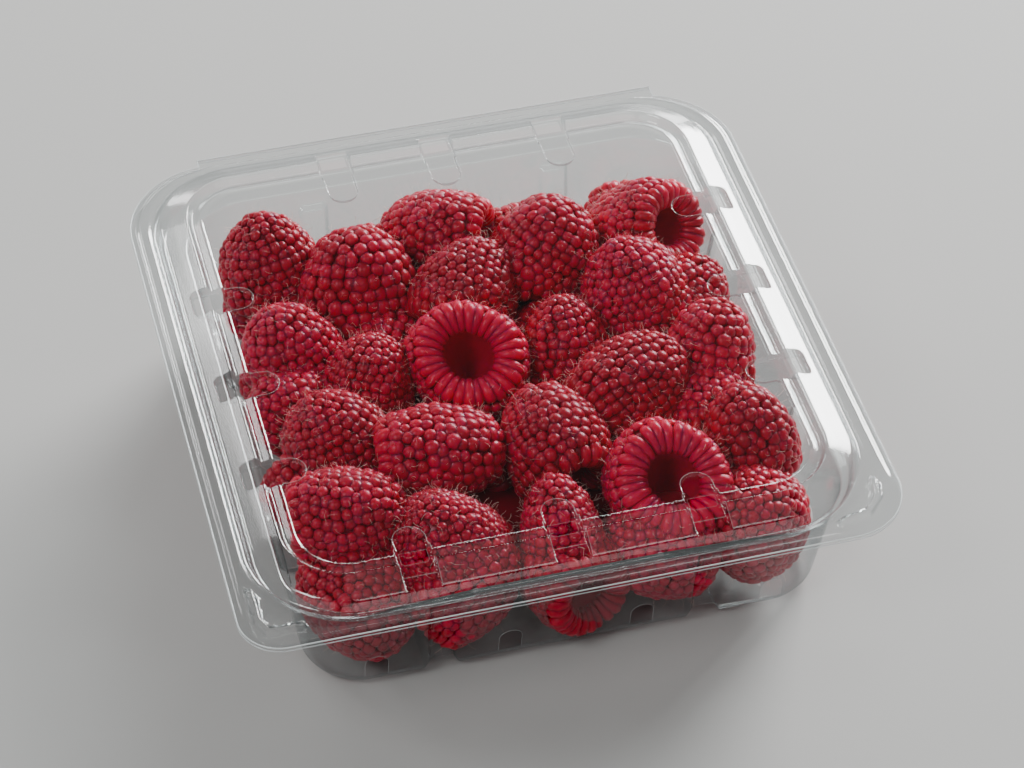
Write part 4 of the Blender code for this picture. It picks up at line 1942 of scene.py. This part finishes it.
    def core(self, skin: Material) -> Object:
        """The smaller core that closes the gaps between the berries: a low uneven mound, painted dark
        by a low tone and crown as the shade of the depths.

        Args:
            skin: the drupelets' material.
        Returns:
            The finished object.
        """
        rows, columns = self.core_rows, self.core_columns
        angles = 2 * np.pi * np.arange(columns) / columns
        points, faces = [(WELL_SHIFT, 0.0, self.core_low)], []
        for t in np.linspace(0, 1, rows):
            reach = self.core_half * min(1.0, 6 * t + 0.7) * (1 - max(t - 0.3, 0) / 0.7)
            z = self.core_low + (self.core_high - self.core_low) * smooth(np.array(t / 0.45))
            for a in angles:
                square = min(1 / max(abs(math.cos(a)), abs(math.sin(a))), 1.28)
                x, y = reach * square * math.cos(a), reach * square * math.sin(a)
                lump = 1.2 * math.sin(x / 4.1 + 1.0) * math.sin(y / 3.7)
                points.append((x + WELL_SHIFT, y, float(z) + lump * float(t > 0.2)))
        points.append((WELL_SHIFT, 0.0, self.core_high))
        for k in range(columns):
            n = (k + 1) % columns
            faces.append((0, 1 + n, 1 + k))
            for row in range(rows - 1):
                a, b = 1 + row * columns, 1 + (row + 1) * columns
                faces.append((a + k, a + n, b + n, b + k))
            last = 1 + (rows - 1) * columns
            faces.append((last + k, last + n, len(points) - 1))
        mesh = to_mesh("berries_core", np.array(points), faces, skin)
        self.write(mesh, "tone", np.full(len(points), self.core_shade_tone))
        self.write(mesh, "crown", np.full(len(points), self.core_shade_crown))
        return to_object("berries_core", mesh)

    def grow(self, berry: Berry, rng: np.random.Generator) -> Grown:
        """Makes one berry in its place.

        Args:
            berry: the berry.
            rng: the source of unevenness.
        Returns:
            The berry's flesh, drupelet sites and rim lobes.
        """
        phases = rng.uniform(0, 1, 8)
        form = Form(berry)
        rotate, middle = self.lay(berry, rng.uniform(0, 6.28))
        turn, shift = np.array(rotate), np.array(middle)
        places, outward, along, size = form.sites(rng)
        lines, thick, rim_out = form.lobes(rng)
        points, faces = form.flesh()
        # crown of the flesh: high inside the hollow, zero elsewhere, where the flesh between drupelets
        # takes the full painted crease shade
        hollow = np.hypot(*points[:, :2].T) < form.section[0, 0] + 0.3
        hollow = np.where(hollow & (points[:, 2] < 0.4 * berry.length), self.hollow_crown, 0.0)
        places, points = (self.bend(berry, v, phases) @ turn.T + shift for v in (places, points))
        lines = self.bend(berry, lines.reshape(-1, 3), phases) @ turn.T + shift
        everything = np.concatenate([places[:, 2], lines[:, 2]])
        if berry.lie in (Lie.LOWER, Lie.WALL):
            move = self.floor_z + self.foot * form.drupelet[0] - everything.min()
        else:
            move = self.ceiling - berry.drop - form.drupelet[2] * berry.grain - everything.max()
        for values in (places, points, lines):
            values[:, 2] += move
        outward, along, rim_out = (v @ turn.T for v in (outward, along, rim_out))
        lines = lines.reshape(len(thick), -1, 3)
        tone = rng.uniform(-self.tone_spread, self.tone_spread)
        tone += self.open_tone if berry.lie is Lie.OPEN else 0.0
        return Grown(points, faces, places, outward, along, size, hollow, lines, thick, rim_out, tone)

    def drupelets(
        self, name: str, grown: list[Grown], skin: Material, tree: GeometryNodeTree
    ) -> Object:
        """Joins the flesh and round drupelets of one kind of berry into one piece.

        Args:
            name: the piece's name.
            grown: the berries.
            skin: their material.
            tree: the drupelet tree.
        Returns:
            The finished object.
        """
        faces, total = [], 0
        for one in grown:
            faces += [[v + total for v in face] for face in one.faces]
            total += len(one.points)
        sites = self.joined(grown, "places")
        mesh = to_mesh(name, np.vstack([self.joined(grown, "points"), sites]), faces)
        flags = np.concatenate([np.zeros(total), np.ones(len(sites))])
        self.write(mesh, "site", flags)
        tones = [np.full(len(one.places), one.tone) for one in grown]
        self.write(mesh, "tone", np.concatenate([np.full(total, self.flesh_tone), *tones]))
        # the flesh's crowns, and none for the sites; a low crown takes the painted crease shade
        crowns = np.concatenate([self.joined(grown, "hollow"), np.zeros(len(sites))])
        self.write(mesh, "crown", crowns)
        for label, scale in (("outward", 1.0), ("along", 1.0), ("size", MM)):
            values = np.vstack([np.zeros((total, 3)), self.joined(grown, label) * scale])
            self.write(mesh, label, values)
        values = {"Material": skin, "Drupelet": self.drupelet}
        return self.strip(apply_tree(to_object(name, mesh), tree, values))

    def rims(self, name: str, grown: list[Grown], skin: Material, tree: GeometryNodeTree) -> Object:
        """Makes the rim lobes of one kind of berry.

        Args:
            name: the piece's name.
            grown: the berries.
            skin: their material.
            tree: the rim lobe tree.
        Returns:
            The finished object.
        """
        lines = self.joined(grown, "lines")
        count, long = lines.shape[:2]
        edges = [(k * long + j, k * long + j + 1) for k in range(count) for j in range(long - 1)]
        mesh = to_mesh(name, lines.reshape(-1, 3), [], None, edges)
        self.write(mesh, "thick", self.joined(grown, "thick").ravel() * MM)
        rng = np.random.default_rng(self.seed)
        tones = np.concatenate([np.full(len(one.thick), one.tone) for one in grown])
        tones += rng.uniform(*SHADES, len(tones))
        self.write(mesh, "tone", np.repeat(tones, long))
        self.write(mesh, "outward", self.joined(grown, "rim_out").reshape(-1, 3))
        return self.strip(apply_tree(to_object(name, mesh), tree, {"Material": skin}))

    def joined(self, grown: list[Grown], name: str) -> Array:
        """Joins one kind of value of several berries."""
        return np.concatenate([getattr(one, name) for one in grown])

    def strip(self, piece: Object) -> Object:
        """Takes off the attributes that only the trees needed."""
        for name in ("site", "outward", "along", "size", "thick"):
            if name in piece.data.attributes:
                piece.data.attributes.remove(piece.data.attributes[name])
        return piece

    def write(self, mesh: Mesh, name: str, values: Array) -> None:
        """Writes one value or vector for each vertex."""
        kind, key = ("FLOAT", "value") if values.ndim == 1 else ("FLOAT_VECTOR", "vector")
        mesh.attributes.new(name, kind, "POINT").data.foreach_set(key, values.ravel())

    def hairs(
        self, name: str, grown: list[Grown], hair: Material, tree: GeometryNodeTree, share: float
    ) -> Object:
        """Grows the dried styles of one kind of berry.

        Args:
            name: the piece's name.
            grown: the berries.
            hair: the styles' material.
            tree: the hair tree.
            share: how many of the drupelets have one.
        Returns:
            The finished object.
        """
        roots, outward, rng = [], [], np.random.default_rng(self.seed)
        for one in grown:
            roots.append(one.places + one.outward * (one.size[:, 2:3] - self.hair_root))
            outward.append(one.outward)
            for k in self.hair_spots:
                deep = one.thick[:, k : k + 1] - self.hair_root
                roots.append(one.lines[:, k] + one.rim_out[:, k] * deep)
                outward.append(one.rim_out[:, k])
        spots, away = np.vstack(roots * 2), np.vstack(outward * 2)
        spots = spots + rng.normal(0, self.hair_spread, spots.shape) * (1 - np.abs(away))
        reach = self.hair_reach * (0.3 + 0.7 * np.abs(away))
        clear = spots[:, 2] + reach[:, 2] < self.ceiling
        clear &= spots[:, 2] - reach[:, 2] > self.hair_floor
        taper = self.wall_taper * (self.ceiling - spots[:, 2])
        for axis, (near, far) in enumerate(self.walls):
            clear &= spots[:, axis] - reach[:, axis] > near + taper
            clear &= spots[:, axis] + reach[:, axis] < far - taper
        mesh = to_mesh(name, spots[clear], [])
        self.write(mesh, "outward", away[clear])
        return apply_tree(to_object(name, mesh), tree, {"Material": hair, "Share": share})


# ---------- studio


@dataclass
class Studio:
    """A pale floor, soft lights and the camera."""

    camera_at: Triple = (-0.11655, -0.42225, 0.45867)
    turn: float = -15.856
    rise: float = 45.140
    roll: float = 1.068
    lens: float = 112.33
    sensor: float = 36.0
    floor_half: float = 3000.0
    air: str = "#8C8E90"
    air_strength: float = 0.09

    def floor(self) -> Object:
        """Lays the floor.

        Returns:
            The floor, which hangs on no body.
        """
        half = self.floor_half
        corners = np.array([(-half, -half, 0), (half, -half, 0), (half, half, 0), (-half, half, 0)])
        board = PaleBoard().make("painted_studio_board")
        piece = to_object("studio_floor", to_mesh("studio_floor", corners, [[0, 1, 2, 3]], board))
        return piece

    def light(self, name: str, at: Sequence[float], size: Sequence[float], watts: float) -> Object:
        """Hangs one softbox that looks at the punnet.

        Args:
            name: the light's name.
            at: its place in metres.
            size: its width and height in metres.
            watts: its power.
        Returns:
            The light.
        """
        lamp = bpy.data.lights.new(name, "AREA")
        lamp.shape = "RECTANGLE"
        lamp.size, lamp.size_y = size
        lamp.energy = watts
        piece = bpy.data.objects.new(name, lamp)
        aim = Vector((0, 0, 0.02)) - Vector(at)
        piece.rotation_euler = aim.to_track_quat("-Z", "Y").to_euler()
        piece.location = at
        bpy.context.scene.collection.objects.link(piece)
        return piece

    def build(self) -> None:
        """Sets the floor, the lights, the surroundings and the camera."""
        self.floor()
        self.light("back_right_softbox", (0.85, 0.85, 0.46), (0.62, 0.42), 46.0)
        self.light("overhead_softbox", (0.1, 0.05, 1.3), (1.5, 0.5), 0.8)
        self.light("low_front_strip", (0.25, -1.05, 0.62), (1.4, 0.16), 0.9)
        self.light("high_left_softbox", (-0.75, -0.35, 1.05), (0.4, 0.4), 7.0)
        self.light("high_front_softbox", (0.2, -0.62, 1.2), (0.6, 0.4), 2.2)
        self.light("back_left_softbox", (-0.5, 1.0, 0.93), (0.35, 0.3), 2.5)
        self.light("back_left_strip", (-0.98, 1.02, 0.5), (0.4, 0.22), 6.0)
        self.light("back_strip", (0.1, 1.38, 0.42), (1.0, 0.14), 6.0)
        self.light("low_back_strip", (0.62, 1.35, 0.17), (0.4, 0.16), 3.0)
        self.light("front_left_fill", (-1.0, -0.9, 0.5), (0.9, 0.7), 1.6)
        world = bpy.data.worlds.new("studio_air")
        bpy.context.scene.world = world
        world.use_nodes = True
        back = world.node_tree.nodes["Background"]
        back.inputs["Color"].default_value = srgb(self.air)
        back.inputs["Strength"].default_value = self.air_strength
        data = bpy.data.cameras.new("camera")
        data.lens, data.sensor_width = self.lens, self.sensor
        data.clip_start, data.clip_end = 0.01, 20.0
        camera = bpy.data.objects.new("camera", data)
        bpy.context.scene.collection.objects.link(camera)
        bpy.context.scene.camera = camera
        camera.matrix_world = self.pose()

    def pose(self) -> Matrix:
        """The camera's place and turn.

        Returns:
            Its matrix.
        """
        a, e, r = (math.radians(v) for v in (self.turn, self.rise, self.roll))
        back = Vector((math.sin(a) * math.cos(e), -math.cos(a) * math.cos(e), math.sin(e)))
        right = (-back).cross(Vector((0, 0, 1))).normalized()
        up = right.cross(-back)
        across = right * math.cos(r) + up * math.sin(r)
        rise = up * math.cos(r) - right * math.sin(r)
        matrix = Matrix((across, rise, back)).transposed().to_4x4()
        matrix.translation = Vector(self.camera_at)
        return matrix


def main() -> None:
    """Builds every piece in order."""
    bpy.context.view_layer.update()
    film = ThermoformedPet().make("clear_pet_thermoformed")
    # whitish materials that paint highlights on cut edges, holes, slots, creases and bar ends
    edge = PaintedPetHighlight().make("clear_pet_die_cut")
    beads = EdgeBeadTree().build()
    fold = PaintedPetHighlight(clearness=0.7).make("clear_pet_sharp_bend")
    Tray().build(film, fold, beads)
    Lid().build(film, edge, fold, beads)
    HingeFold().build(film)
    skin = RaspberrySkin().make("raspberry_ripe_skin")
    hair = DriedStyle().make("raspberry_dried_style")
    Heap().build(skin, hair)
    Studio().build()


if __name__ == "__main__":
    main()
